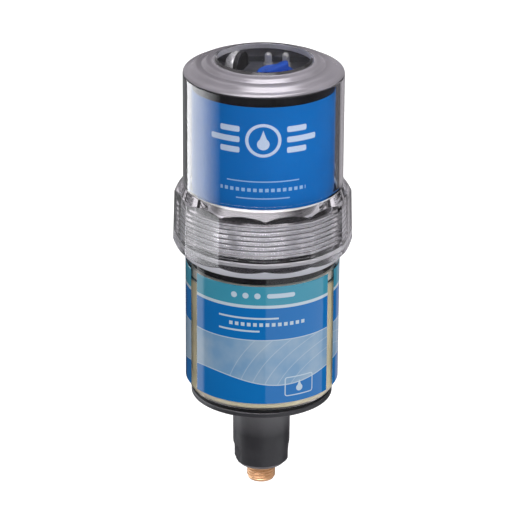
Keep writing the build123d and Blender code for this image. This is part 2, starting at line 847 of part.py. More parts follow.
# Selector dial: a flange with a grip bar across it, on a stem through the panel.
dial_bottom = panel_top + PUSH
with BuildPart() as time_dial:
    with BuildSketch(dial_plane.offset(dial_bottom)):
        Circle(dial_radius)
    extrude(amount=dial_thick)
    chamfer(time_dial.edges().group_by(Axis.Z)[-1], dial_chamfer)
    with BuildSketch(dial_plane.offset(dial_bottom + dial_thick)):
        SlotOverall(dial_grip_length, dial_grip_width, rotation=dial_grip_angle)
    extrude(amount=dial_grip_height, taper=dial_grip_draft)
    with BuildSketch(dial_plane.offset(board_top + PUSH)):
        Circle(dial_stem_radius)
    extrude(amount=dial_bottom - board_top - PUSH)
save(time_dial.part, "time_dial")

can_line = Axis(can_plane.origin, can_plane.z_dir)
with BuildPart() as capacitor:
    with BuildSketch(can_plane):
        Circle(can_radius)
    extrude(amount=can_length)
    fillet(capacitor.edges().filter_by(GeomType.CIRCLE).sort_by(can_line)[0], can_round)
save(capacitor.part, "capacitor")

with BuildPart() as capacitor_end:
    with BuildSketch(can_plane.offset(can_length)):
        Circle(can_end_radius)
    extrude(amount=can_end_length)
    fillet(capacitor_end.edges().filter_by(GeomType.CIRCLE).sort_by(can_line)[-1], can_end_round)
save(capacitor_end.part, "capacitor_end")

# ---------------------------------------------------------------- cover
with BuildPart() as cover_seal:
    with BuildSketch(Plane.XY.offset(seal_bottom)):
        Circle(cover_seal_radius)
        Circle(cover_seal_radius - cover_seal_width, mode=Mode.SUBTRACT)
    extrude(amount=cover_seal_thick)
save(cover_seal.part, "cover_seal")

# Clear cover: a twelve-sided collar under a round wall and a conical roof with a raised window.
collar_low = cover_bottom + collar_chamfer_low
collar_high = collar_low + collar_wall_height
collar_top = collar_high + collar_chamfer_high
collar_draft = (collar_corner_low - collar_corner_high) / collar_wall_height
collar_foot_corner = collar_corner_low + collar_draft * collar_chamfer_low
side_draft = degrees(atan(collar_draft * cos(pi / collar_sides)))
low_slope = collar_chamfer_low / (collar_corner_low - cover_radius)
high_slope = collar_chamfer_high / (collar_corner_high - cover_radius)
envelope_margin = 1.0
dome_radius = (window_radius**2 + window_dome**2) / (2 * window_dome)
skirt_inner = window_radius + skirt_lap - skirt_wall
skirt_outer = window_radius + skirt_lap
roof_slope = (roof_rise - len(roof_step_insets) * roof_step_height) / window_inset


def roof_height(radius, steps):
    """Height of the roof's outside at a radius, above a number of its small steps."""
    return eave + (cover_radius - radius) * roof_slope + steps * roof_step_height


with BuildPart() as cover:
    # collar: a slightly tapering polygon, cut to the two cones of its chamfers
    with BuildSketch(Plane.XY.offset(cover_bottom)):
        RegularPolygon(collar_foot_corner, collar_sides, rotation=collar_turn - 90)
    extrude(amount=collar_top - cover_bottom, taper=side_draft)
    with BuildSketch(Plane.XZ) as collar_envelope:
        with BuildLine():
            Polyline(
                (0, cover_bottom),
                (cover_radius, cover_bottom),
                (collar_corner_low + envelope_margin, collar_low + envelope_margin * low_slope),
                (collar_corner_low + envelope_margin, collar_high - envelope_margin * high_slope),
                (collar_corner_high + envelope_margin, collar_high - envelope_margin * high_slope),
                (cover_radius, collar_top),
                (0, collar_top),
                close=True,
            )
        make_face()
    revolve(axis=Axis.Z, mode=Mode.INTERSECT)
    # wall and roof
    with BuildSketch(Plane.XZ) as shell_outline:
        with BuildLine():
            outline = [(0, collar_low), (cover_radius, collar_low), (cover_radius, eave)]
            for steps, inset in enumerate(roof_step_insets):
                radius = cover_radius - inset
                outline.append((radius, roof_height(radius, steps)))
                outline.append((radius - roof_step_height, roof_height(radius, steps + 1)))
            outline.append((window_radius, window_top))
            Polyline(*outline)
            RadiusArc((window_radius, window_top), (0, window_top + window_dome), -dome_radius)
            Line((0, window_top + window_dome), (0, collar_low))
        make_face()
    revolve(axis=Axis.Z)
    eave_rims = cover.edges().filter_by(GeomType.CIRCLE).filter_by_position(Axis.Z, eave - 0.01, eave + 0.01)
    fillet(eave_rims, cover_edge_round)
    # cavity: collar bore, shoulder over the seal, wall, roof and the window's skirt
    with BuildSketch(Plane.XZ) as cavity_outline:
        with BuildLine():
            Polyline(
                (0, cover_bottom),
                (cover_bore, cover_bottom),
                (cover_bore, cover_shoulder),
                (cover_inner, cover_shoulder + cover_bore - cover_inner),
                (cover_inner, roof_height(cover_inner, 0) - roof_wall),
                (skirt_outer, roof_height(skirt_outer, 1) - roof_wall),
                (skirt_outer, window_top - skirt_drop),
                (skirt_inner, window_top - skirt_drop),
                (skirt_inner, window_top - window_thick),
                (0, window_top - window_thick),
                close=True,
            )
        make_face()
    revolve(axis=Axis.Z, mode=Mode.SUBTRACT)
save(cover.part, "cover")
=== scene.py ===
"""Looks of the automatic lubricator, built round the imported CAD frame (Blender 4.5, metres)."""
import math

import bmesh
import bpy
from mathutils import Matrix, Vector


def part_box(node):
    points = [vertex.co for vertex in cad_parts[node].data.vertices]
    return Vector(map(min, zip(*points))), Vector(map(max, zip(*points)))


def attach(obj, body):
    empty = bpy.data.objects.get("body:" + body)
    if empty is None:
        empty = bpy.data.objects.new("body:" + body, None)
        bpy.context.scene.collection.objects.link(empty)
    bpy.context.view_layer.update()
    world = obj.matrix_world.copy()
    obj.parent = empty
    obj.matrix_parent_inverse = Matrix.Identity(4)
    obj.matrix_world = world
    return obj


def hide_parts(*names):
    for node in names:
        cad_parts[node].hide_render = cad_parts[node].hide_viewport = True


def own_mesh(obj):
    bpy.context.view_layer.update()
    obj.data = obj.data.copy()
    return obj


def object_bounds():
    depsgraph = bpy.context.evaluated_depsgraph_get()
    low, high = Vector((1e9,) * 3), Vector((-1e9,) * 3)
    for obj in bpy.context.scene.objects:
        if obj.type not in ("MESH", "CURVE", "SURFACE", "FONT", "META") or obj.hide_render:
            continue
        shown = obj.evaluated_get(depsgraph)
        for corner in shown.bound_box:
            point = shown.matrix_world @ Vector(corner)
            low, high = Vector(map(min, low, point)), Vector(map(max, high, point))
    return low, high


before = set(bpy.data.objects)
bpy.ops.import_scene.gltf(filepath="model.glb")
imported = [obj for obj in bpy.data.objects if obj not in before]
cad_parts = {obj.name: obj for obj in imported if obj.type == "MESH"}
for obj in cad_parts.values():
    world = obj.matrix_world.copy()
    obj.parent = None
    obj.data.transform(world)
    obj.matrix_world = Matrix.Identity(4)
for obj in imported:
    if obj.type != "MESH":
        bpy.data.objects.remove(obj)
CAD_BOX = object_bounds()
MM = 0.001
TAU = 2 * math.pi
SEGMENTS = 240


# -------- sizes read from the frame, in millimetres
def low(node):
    """Lowest corner of a CAD node."""
    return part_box(node)[0] / MM


def high(node):
    """Highest corner of a CAD node."""
    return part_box(node)[1] / MM


def middle_of(node):
    """Middle of a CAD node seen from above."""
    middle = (low(node) + high(node)) / 2
    return middle.x, middle.y


def reach(node):
    """Radius of a round CAD node about the axis."""
    return high(node).y


CANISTER_R = reach("canister")
CANISTER_TOP = high("canister").z
COVER_LOW = low("cover").z
HOUSING_R = 29.8
HOUSING_LOW = low("drive_housing").z
HOUSING_TOP = high("drive_housing").z
FLANGE_R = reach("drive_housing")
FOOT_TOP = low("base_seal").z
STEM_LOW = low("outlet_base").z
SEAL_TOP = high("base_seal").z
# sizes of the clear parts and their threads
COVER_R = 33.7
COVER_INNER = 31.35
COVER_BORE = 32.85
COLLAR_SIDES = 12
COLLAR_SIDE = TAU / COLLAR_SIDES
COLLAR_TURN = 1.5
COLLAR_SEAM = math.radians(COLLAR_TURN - 90)
COLLAR_CORNER_LOW = 38.0
COLLAR_CORNER_HIGH = 37.35
COLLAR_LOW = COVER_LOW + 5.1
COLLAR_HIGH = COLLAR_LOW + 21.6
COLLAR_TOP = COLLAR_HIGH + 4.2
COLLAR_TAPER = (COLLAR_CORNER_HIGH - COLLAR_CORNER_LOW) / (COLLAR_HIGH - COLLAR_LOW)
CONE_LOW = (COLLAR_CORNER_LOW - COVER_R) / (COLLAR_LOW - COVER_LOW)
CONE_HIGH = (COLLAR_CORNER_HIGH - COVER_R) / (COLLAR_TOP - COLLAR_HIGH)
SHOULDER = high("cover_seal").z + 0.1
WINDOW_TOP = COVER_LOW + 85.6
WINDOW_R = 19.5
RIM_R = 21.4
DOME = 0.25
EAVE = WINDOW_TOP - 5.45
GROOVE_LOW = COVER_LOW + 5.0
GROOVE_TOP = COVER_LOW + 7.0
THREAD_PITCH = 2.15
THREAD_DEPTH = 1.1
THREAD_LOW = COVER_LOW + 9.0
THREAD_HIGH = COVER_LOW + 23.2
NECK_R = 32.2
BORE_R = 30.4
NECK_LOW = CANISTER_TOP - 21.5
FLOOR_Z = SEAL_TOP + 1.0
CHAMFER = 2.15
CHAMFER_R = 28.25


# -------- node helpers
class Graph:
    """A node tree with short calls for its sums. Every value may be a socket or a number."""

    def link(self, source, target):
        self.tree.links.new(source, target)

    def feed(self, slot, value):
        """Puts a value into a socket: a socket is linked, a number or a colour is set."""
        if isinstance(value, bpy.types.NodeSocket):
            self.link(value, slot)
        elif isinstance(value, (int, float)):
            slot.default_value = value
        else:
            slot.default_value = (*value, 1.0)

    def math(self, operation, *values):
        made = self.tree.nodes.new("ShaderNodeMath")
        made.operation = operation
        for slot, value in zip(made.inputs, values):
            self.feed(slot, value)
        return made.outputs[0]

    def times(self, first, second):
        """The first multiplied by the second."""
        return self.math("MULTIPLY", first, second)

    def less(self, first, second):
        """The first less the second."""
        return self.math("SUBTRACT", first, second)

    def most(self, first, *others):
        """The largest of several values."""
        for other in others:
            first = self.math("MAXIMUM", first, other)
        return first

    def least(self, first, *others):
        """The smallest of several values."""
        for other in others:
            first = self.math("MINIMUM", first, other)
        return first

    def mix(self, share, first, second):
        """The first colour where the share is 0, the second where it is 1."""
        made = self.tree.nodes.new("ShaderNodeMix")
        made.data_type = "RGBA"
        for index, value in ((0, share), (6, first), (7, second)):
            self.feed(made.inputs[index], value)
        return made.outputs[2]


class Mat(Graph):
    """A procedural material: a Principled shader with helpers that add nodes to it."""

    def __init__(self, name, color, rough, metal=0.0):
        self.mat = bpy.data.materials.new(name)
        self.mat.use_nodes = True
        self.tree = self.mat.node_tree
        self.shader = self.tree.nodes["Principled BSDF"]
        self.set("Base Color", (*color, 1.0))
        self.set("Roughness", rough)
        self.set("Metallic", metal)
        self.coords = self.tree.nodes.new("ShaderNodeTexCoord").outputs["Object"]

    def set(self, socket, value):
        self.shader.inputs[socket].default_value = value

    def drive(self, socket, value):
        """Links a value to one of the shader's sockets."""
        self.link(value, self.shader.inputs[socket])

    def noise(self, scale, detail=3.0, stretch=None):
        """Noise with features of about 1/scale metres; stretch scales the three directions."""
        coords = self.coords
        if stretch:
            mapping = self.tree.nodes.new("ShaderNodeMapping")
            mapping.inputs["Scale"].default_value = stretch
            self.link(coords, mapping.inputs["Vector"])
            coords = mapping.outputs[0]
        made = self.tree.nodes.new("ShaderNodeTexNoise")
        made.inputs["Scale"].default_value = scale
        made.inputs["Detail"].default_value = detail
        self.link(coords, made.inputs["Vector"])
        return made.outputs["Fac"]

    def span(self, value, lowest, highest, to_low=0.0, to_high=1.0):
        """Maps a value's range to another, clamped."""
        made = self.tree.nodes.new("ShaderNodeMapRange")
        limits = {"From Min": lowest, "From Max": highest, "To Min": to_low, "To Max": to_high}
        for key, number in limits.items():
            made.inputs[key].default_value = number
        self.link(value, made.inputs["Value"])
        return made.outputs[0]

    def step(self, value, edge, soft):
        """0 below an edge and 1 above it, over a soft width."""
        return self.span(value, edge - soft / 2, edge + soft / 2)

    def place(self):
        """Height in metres and the angle round the axis from the front in radians, as sockets."""
        split = self.tree.nodes.new("ShaderNodeSeparateXYZ")
        self.link(self.coords, split.inputs[0])
        x, y, z = split.outputs
        return z, self.math("ARCTAN2", x, self.times(y, -1.0))

    def drift(self, color, other, scale, lowest=0.3, highest=0.7, detail=3.0):
        """Colour that drifts between two values, over a range of the noise."""
        return self.mix(self.span(self.noise(scale, detail), lowest, highest), color, other)

    def vary(self, color, other, scale):
        """Base colour that drifts between two values."""
        self.drive("Base Color", self.drift(color, other, scale, 0.35, 0.65))

    def rough(self, lowest, highest, scale, stretch=None):
        noise = self.noise(scale, stretch=stretch)
        self.drive("Roughness", self.span(noise, 0.3, 0.7, lowest, highest))

    def bump(self, height, strength, distance):
        made = self.tree.nodes.new("ShaderNodeBump")
        made.inputs["Strength"].default_value = strength
        made.inputs["Distance"].default_value = distance
        self.link(height, made.inputs["Height"])
        self.drive("Normal", made.outputs[0])


def srgb(red, green, blue):
    """Linear colour of 8-bit display values."""
    def linear(value):
        share = value / 255
        return share / 12.92 if share <= 0.04045 else ((share + 0.055) / 1.055) ** 2.4
    return tuple(linear(value) for value in (red, green, blue))


# -------- mesh helpers
def new_mesh(name, verts, faces):
    """Mesh from points in millimetres."""
    mesh = bpy.data.meshes.new(name)
    mesh.from_pydata([Vector(v) * MM for v in verts], [], faces)
    return mesh


def add(name, data):
    """Puts a mesh, lamp or camera into the scene as an object."""
    made = bpy.data.objects.new(name, data)
    bpy.context.scene.collection.objects.link(made)
    return made


def make_object(name, verts, faces, material, body, smooth_angle=35):
    """Mesh object from millimetre points, shaded smooth with sharp corners, riding on a body."""
    mesh = new_mesh(name, verts, faces)
    mesh.validate()
    bm = bmesh.new()
    bm.from_mesh(mesh)
    bmesh.ops.remove_doubles(bm, verts=bm.verts, dist=1e-7)
    bmesh.ops.recalc_face_normals(bm, faces=bm.faces)
    limit = math.radians(smooth_angle)
    for face in bm.faces:
        face.smooth = True
    for edge in bm.edges:
        if len(edge.link_faces) == 2 and edge.calc_face_angle(0.0) > limit:
            edge.smooth = False
    bm.to_mesh(mesh)
    bm.free()
    mesh.materials.append(material)
    made = add(name, mesh)
    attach(made, body)
    return made


# most of a side that a rounded corner takes, and how far extra rows lie from a long step's ends
MOST_ROUND = 0.45
SUPPORT = 0.18


def rounded(corners, radius, steps, closed=True):
    """Profile corners (r, z) with each one rounded, apart from those on the axis and open ends.

    The radius is one size, or a list with one for each corner."""
    count = len(corners)
    made = []
    for index, here in enumerate(corners):
        ends = not closed and index in (0, count - 1)
        if ends or here[0] < 1e-6:
            made.append(here)
            continue
        size = radius[index] if isinstance(radius, list) else radius
        point = Vector(here)
        back = Vector(corners[index - 1]) - point
        ahead = Vector(corners[(index + 1) % count]) - point
        start = point + back.normalized() * min(size, back.length * MOST_ROUND)
        end = point + ahead.normalized() * min(size, ahead.length * MOST_ROUND)
        for step in range(steps + 1):
            t = step / steps
            spot = start * (1 - t) ** 2 + point * 2 * t * (1 - t) + end * t * t
            made.append((spot.x, spot.y))
    return made


def supported(rows, closed):
    """Rows with one more close to each end of every long step, so that shading stays flat along it."""
    made = []
    count = len(rows)
    for index, here in enumerate(rows):
        made.append(here)
        after = rows[(index + 1) % count]
        if callable(here) or callable(after) or (index == count - 1 and not closed):
            continue
        step = Vector(after) - Vector(here)
        if step.length > 1.0:
            share = SUPPORT / step.length
            made += [(here[0] + step.x * t, here[1] + step.y * t) for t in (share, 1 - share)]
    return made


def sweep(name, rows, material, body, segments=SEGMENTS, closed=True, start=0.0, arc=TAU,
          smooth_angle=35, angles=None, seam=False):
    """Surface round the axis. Each row is (r, z), or a function of the angle that gives (r, z).

    With a seam the last column lies on the first, and rows may meet other rows there."""
    full = abs(arc - TAU) < 1e-6
    if seam and angles is None:
        angles = [TAU * column / segments for column in range(segments + 1)]
    if angles is None:
        angles = [start + arc * column / segments for column in range(segments + (not full))]
    columns = len(angles)
    rows = supported(rows, closed)
    verts = []
    for angle in angles:
        for row in rows:
            radius, height = row(angle) if callable(row) else row
            verts.append((radius * math.cos(angle), radius * math.sin(angle), height))
    count = len(rows)
    faces = []
    last = columns if full and not seam else columns - 1
    for column in range(last):
        other = (column + 1) % columns
        for index in range(count if closed else count - 1):
            after = (index + 1) % count
            here, there = column * count, other * count
            faces.append((here + index, there + index, there + after, here + after))
    if not full and closed:
        faces.append(list(range(count)))
        faces.append([last * count + index for index in reversed(range(count))])
    return make_object(name, verts, faces, material, body, smooth_angle)


def tube(inner, outer, lowest, highest):
    """Profile of a plain ring, or of a rod where inner is 0."""
    return [(inner, lowest), (outer, lowest), (outer, highest), (inner, highest)]


def turned(name, rows, material, body, origin, axis=(0, 0, 1), segments=96, closed=True):
    """A lathed form that stands away from the main axis, on an origin in millimetres."""
    piece = sweep(name, rows, material, body, segments=segments, closed=closed)
    turn = Vector(axis).to_track_quat("Z", "Y").to_matrix().to_4x4()
    piece.data.transform(Matrix.Translation(Vector(origin) * MM) @ turn)
    return piece


def stand_in(piece, node):
    """Hides the CAD node that a piece replaces."""
    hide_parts(node)


def skin(node, material):
    """Gives a CAD node that stays its procedural material."""
    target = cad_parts[node]
    target.data.materials.clear()
    target.data.materials.append(material)


# -------- materials
PLASTIC_IOR = 1.49


def plastic(name, color, other, rough, grain=900.0, shine=0.4):
    """Moulded plastic with a fine grain and a slow drift of tone."""
    made = Mat(name, color, rough)
    made.set("Specular IOR Level", shine)
    made.vary(color, other, 60.0)
    made.rough(rough - 0.06, rough + 0.08, 140.0)
    made.bump(made.noise(grain, 4.0), 0.25, 0.00002)
    return made.mat


def metal(name, color, other, rough, share=0.6):
    """Turned or drawn metal with fine lines along one direction."""
    stretch = (1.0, 1.0, 14.0)
    made = Mat(name, color, rough, share)
    made.vary(color, other, 120.0)
    made.rough(rough - 0.07, rough + 0.1, 220.0, stretch)
    made.bump(made.noise(660.0, 2.0, stretch), 0.2, 0.00001)
    return made.mat


def clear(name, tint, rough):
    """Clear moulded plastic, with faint flow marks."""
    made = Mat(name, tint, rough)
    made.set("Transmission Weight", 1.0)
    made.set("IOR", PLASTIC_IOR)
    made.vary(tint, tuple(value * 0.985 for value in tint), 40.0)
    made.bump(made.noise(70.0, 2.0), 0.05, 0.00012)
    return made.mat


def satin_and_painted_sheen(name, color, rough, through):
    """Frosted clear plastic: part of the light goes through, the rest scatters at the skin. Its colour
    also gives clear parts a painted sheen.
    """
    made = Mat(name, color, rough)
    made.vary(color, tuple(value * 0.93 for value in color), 90.0)
    made.set("Transmission Weight", through)
    made.set("IOR", PLASTIC_IOR)
    made.set("Specular IOR Level", 0.9)
    made.bump(made.noise(1600.0, 3.0), 0.15, 0.00001)
    return made.mat


BLACK = plastic("black_moulding", srgb(24, 24, 27), srgb(29, 29, 32), 0.36, shine=0.12)
PANEL = plastic("panel_grey", srgb(62, 65, 71), srgb(70, 73, 79), 0.45)
RUBBER = plastic("black_rubber", srgb(20, 21, 23), srgb(28, 29, 31), 0.5, 500.0, shine=0.2)
WHITE = plastic("natural_white", srgb(214, 212, 204), srgb(204, 201, 192), 0.45)
BLUE = plastic("dial_blue", srgb(0, 84, 206), srgb(2, 92, 214), 0.22, shine=0.15)
PALE = plastic("pale_silicone", srgb(244, 242, 236), srgb(236, 234, 228), 0.4)
JACKET = plastic("cell_jacket", srgb(60, 62, 66), srgb(70, 72, 76), 0.3)
BOARD = plastic("solder_mask", srgb(20, 88, 56), srgb(26, 98, 62), 0.3)
GEAR = plastic("acetal", srgb(226, 224, 214), srgb(216, 213, 202), 0.4)
BRASS = metal("turned_brass", srgb(230, 184, 140), srgb(214, 166, 122), 0.3)
STEEL = metal("bright_steel", srgb(196, 197, 200), srgb(180, 181, 184), 0.25)
TIN = metal("nickel_plate", srgb(208, 208, 206), srgb(190, 190, 188), 0.22)
SILVER = metal("drawn_aluminium", srgb(236, 236, 236), srgb(220, 220, 222), 0.24, share=0.3)
BRONZE = metal("sintered_bronze", srgb(164, 124, 84), srgb(146, 108, 72), 0.4)
COVER_CLEAR = clear("cover_clear", (0.985, 0.98, 0.99), 0.01)
CANISTER_CLEAR = clear("canister_clear", (0.985, 0.985, 0.985), 0.02)
COVER_SATIN = satin_and_painted_sheen("cover_satin", (0.36, 0.335, 0.375), 0.2, 0.35)
# painted reflection: grey scattering colour on the clear neck thread and the cover's groove, in place
# of their silver reflections
PAINTED_GREY_SHEEN = satin_and_painted_sheen("painted_grey_sheen", (0.55, 0.54, 0.58), 0.28, 0.3)
# painted reflection: pale lavender scattering colour on the clear lower cone of the collar and the
# window's inner lip, in place of the light they reflect
PAINTED_PALE_SHEEN = satin_and_painted_sheen("painted_pale_sheen", (0.84, 0.83, 0.9), 0.3, 0.2)
# painted sheen: the lamps' clear epoxy is given a milky white share so that the lenses look bright
LAMP = satin_and_painted_sheen("lamp_clear", (1.0, 0.99, 0.96), 0.03, 0.6)


# -------- camera, floor and light
# levels of the surroundings: between the cards, away from what upright walls mirror, below,
# straight through clear parts, on matt surfaces in the open, and on matt surfaces behind clear ones
GAP_LEVEL = 0.05
SIDE_LEVEL = 0.7
DOWN_LEVEL = 1.5
GLASS_LEVEL = 0.17
ROOM_LEVEL = 1.06
INNER_LEVEL = 2.3
# the room light across: where and how bright it is at most, its fall to each side, its least
PEAK_X = 0.1
PEAK_LEVEL = 1.16
LEFT_FALL = 0.95
RIGHT_FALL = 0.35
LOWEST_LEVEL = 0.1
# bands of directions (x right, y back, z up) as start, end and soft width; no direction goes past PAST
PAST = 2.0
WALL_PITCH = (-0.68, -0.08, 0.14)
GLASS_PITCH = (-0.75, -0.02, 0.12)
BEHIND = {"x": (-0.24, PAST, 0.1), "y": (0.5, PAST, 0.15), "z": (-0.2, 0.72, 0.1)}
BELOW = {"y": (0.0, PAST, 0.12), "z": (-PAST, -0.62, 0.3)}
OVERHEAD_PITCH = (0.5, PAST, 0.15)
# cards overhead with their levels: the middle one, the one in front that lights the roof, the far one
OVERHEAD = (
    ({"x": (-0.28, 0.42, 0.14), "y": (-0.2, 0.44, 0.12)}, 10.5),
    ({"x": (-0.95, 0.55, 0.35), "y": (-0.8, -0.1, 0.15)}, 12.0),
    ({"x": (-0.6, 0.6, 0.3), "y": (0.3, 0.8, 0.1)}, 1.4),
)
# dim card behind: start, end and soft widths in radians
BACK_CARD = (math.radians(146), math.radians(178), math.radians(3), math.radians(6))
BACK_LEVEL = 0.4
CARD_TINT = (0.985, 0.94, 1.0)
# strips near the object: turns from the front where they start and end (degrees), lowest and
# highest point (mm), soft end (degrees), level
STRIPS = (
    ("strip_left_edge", -168, -135, -48, 90, 0.5, 0.3),
    ("strip_left_high", -135, -60, -48, 90, 34, 5.5),
    ("strip_left_low", -113, -92, -260, -52, 6, 1.6),
    ("strip_right_low", 5, 100, -260, -18, 2, 0.95),
)
STRIP_TINT = (0.96, 0.975, 1.0)
FLOOR_DROP = 60.0
FLOOR_GLOW = 0.75


def camera():
    """Camera above the front, with the small lean of the view."""
    focal_px = 3100.0
    width_px = 525.0
    distance = 1317.4
    elevation = math.radians(22.5)
    target = Vector((0, 0, 101.1)) * MM
    data = bpy.data.cameras.new("view")
    data.sensor_width = 36.0
    data.lens = focal_px * data.sensor_width / width_px
    data.clip_end = 20.0
    made = add("view", data)
    back = Vector((0, -math.cos(elevation), math.sin(elevation)))
    made.location = target + back * distance * MM
    turn = back.to_track_quat("Z", "Y").to_matrix()
    lean = Matrix.Rotation(math.radians(0.39), 3, "Z")
    made.rotation_euler = (turn @ lean).to_euler()
    bpy.context.scene.camera = made


def area(name, place, aim, size, size_y, power):
    """Rectangular lamp at a place, turned to a point, both in metres."""
    data = bpy.data.lights.new(name, "AREA")
    data.energy = power
    data.shape = "RECTANGLE"
    data.size = size
    data.size_y = size_y
    made = add(name, data)
    made.location = place
    made.rotation_euler = (Vector(place) - Vector(aim)).to_track_quat("Z", "Y").to_euler()
    return made


class Sky(Graph):
    """The world's node tree, with bands and patches of directions."""

    def __init__(self):
        world = bpy.data.worlds.new("studio")
        bpy.context.scene.world = world
        world.use_nodes = True
        self.tree = world.node_tree
        coords = self.tree.nodes.new("ShaderNodeTexCoord")
        split = self.tree.nodes.new("ShaderNodeSeparateXYZ")
        self.link(coords.outputs["Generated"], split.inputs[0])
        self.way = dict(zip("xyz", split.outputs))
        self.path = self.tree.nodes.new("ShaderNodeLightPath").outputs

    def choose(self, share, first, second):
        """The first number where the share is 0, the second where it is 1."""
        made = self.tree.nodes.new("ShaderNodeMix")
        for index, value in ((0, share), (2, first), (3, second)):
            self.feed(made.inputs[index], value)
        return made.outputs[0]

    def between(self, rise, fall, soft_start, soft_end):
        """1 inside two limits, each given by the distance in from it and a soft width."""
        slopes = self.math("DIVIDE", rise, soft_start), self.math("DIVIDE", fall, soft_end)
        return self.most(self.least(*slopes, 1.0), 0.0)

    def card(self, azimuth, start, end, soft_start, soft_end):
        """1 between two turns round the object."""
        turned = self.math("WRAP", self.less(azimuth, (start + end) / 2), math.pi, -math.pi)
        half = (end - start) / 2
        rise, fall = self.math("ADD", turned, half), self.less(half, turned)
        return self.between(rise, fall, soft_start, soft_end)

    def patch(self, **bands):
        """1 where each direction named (x, y or z) is in its band of start, end and soft width."""
        made = 1.0
        for axis, (start, end, soft) in bands.items():
            rise, fall = self.less(self.way[axis], start), self.less(end, self.way[axis])
            made = self.times(made, self.between(rise, fall, soft, soft))
        return made


def studio():
    """White surroundings for the camera, cards and dark gaps for gloss and glass, and soft lamps."""
    sky = Sky()
    background = sky.tree.nodes["Background"]
    azimuth = sky.math("ARCTAN2", sky.way["x"], sky.times(sky.way["y"], -1.0))

    # what gloss shows: dark between the side cards at the height that upright walls mirror
    dark = sky.most(sky.patch(z=WALL_PITCH), sky.patch(**BEHIND))
    gloss = sky.choose(dark, SIDE_LEVEL, GAP_LEVEL)
    gloss = sky.most(gloss, sky.times(sky.card(azimuth, *BACK_CARD), BACK_LEVEL))
    gloss = sky.most(gloss, sky.times(sky.patch(**BELOW), DOWN_LEVEL))
    above = sky.most(0.0, *(sky.times(sky.patch(**bands), level) for bands, level in OVERHEAD))
    gloss = sky.most(gloss, sky.times(above, sky.patch(z=OVERHEAD_PITCH)))

    # what clear parts show through: dim along the view, light where threads and edges bend it away
    glass = sky.choose(sky.patch(z=GLASS_PITCH), SIDE_LEVEL, GLASS_LEVEL)

    # rays that have met a matt surface get the room light, brightest a little right of the middle
    matt = sky.math("GREATER_THAN", sky.path["Diffuse Depth"], 0.5)
    mirrored = sky.math("GREATER_THAN", sky.path["Glossy Depth"], 0.5)
    level = sky.choose(mirrored, glass, gloss)
    seen = sky.most(sky.path["Is Glossy Ray"], sky.path["Is Transmission Ray"])
    seen = sky.times(seen, sky.less(1.0, matt))
    inner = sky.math("GREATER_THAN", sky.path["Transmission Depth"], 0.5)
    left = sky.most(sky.less(PEAK_X, sky.way["x"]), 0.0)
    right = sky.most(sky.less(sky.way["x"], PEAK_X), 0.0)
    fall = sky.math("ADD", sky.times(left, LEFT_FALL), sky.times(right, RIGHT_FALL))
    sideways = sky.most(sky.less(PEAK_LEVEL, fall), LOWEST_LEVEL)
    room = sky.times(sky.choose(inner, ROOM_LEVEL, INNER_LEVEL), sideways)
    level = sky.choose(seen, room, level)
    sky.link(sky.choose(sky.path["Is Camera Ray"], level, 1.0), background.inputs["Strength"])
    sky.link(sky.mix(seen, (1, 1, 1), CARD_TINT), background.inputs["Color"])

    middle = (0, 0, 0.1)
    for lamp in (
        area("key_left", (-0.8, -0.9, 0.6), middle, 0.6, 0.8, 1.3),
        area("fill_right", (0.9, -0.8, 0.4), middle, 0.6, 0.7, 1.0),
        area("top", (0.0, 0.1, 1.1), middle, 0.7, 0.7, 1.0),
    ):
        lamp.visible_glossy = False
        lamp.visible_transmission = False


def strip_light(name, turn_start, turn_end, lowest, highest, soft, level):
    """Curved strip of light close to the object, which only gloss shows.

    A strip on the left fades towards its end, one on the right only starts softly."""
    radius = 400
    steps = 24
    start, end = math.radians(turn_start - 90), math.radians(turn_end - 90)
    verts = []
    for i in range(steps + 1):
        angle = start + (end - start) * i / steps
        for height in (lowest, highest):
            verts.append((radius * math.cos(angle), radius * math.sin(angle), height))
    faces = [(2 * i, 2 * i + 1, 2 * i + 3, 2 * i + 2) for i in range(steps)]
    mesh = new_mesh(name, verts, faces)
    made = add(name, mesh)
    glow = Mat(f"{name}_glow", (0, 0, 0), 1.0)
    angle = glow.place()[1]
    fade = glow.span(angle, math.radians(turn_end - soft), math.radians(turn_end), level, 0.0)
    if turn_start > 0:
        fade = glow.span(angle, math.radians(turn_start), math.radians(turn_start + 0.5), 0.0, level)
    glow.drive("Emission Strength", fade)
    glow.set("Emission Color", (*STRIP_TINT, 1))
    glow.set("Specular IOR Level", 0.0)
    mesh.materials.append(glow.mat)
    made.visible_camera = False
    made.visible_diffuse = False
    made.visible_transmission = False
    made.visible_shadow = False


def floor():
    """Pale floor that the camera sees as white, with the object's soft shadow."""
    edge = 6000
    verts = [(-edge, -edge, 0), (edge, -edge, 0), (edge, edge, 0), (-edge, edge, 0)]
    mesh = new_mesh("floor", verts, [(0, 1, 2, 3)])
    made = add("floor", mesh)
    made.location.z = CAD_BOX[0].z - FLOOR_DROP * MM
    made.visible_glossy = False
    made.visible_transmission = False
    ground = Mat("pale_floor", (0.5, 0.5, 0.5), 0.9)
    path = ground.tree.nodes.new("ShaderNodeLightPath").outputs
    ground.drive("Emission Strength", ground.times(path["Is Camera Ray"], FLOOR_GLOW))
    ground.set("Emission Color", (1, 1, 1, 1))
    mesh.materials.append(ground.mat)


# -------- round forms with threads and flats
PER_TURN = 12


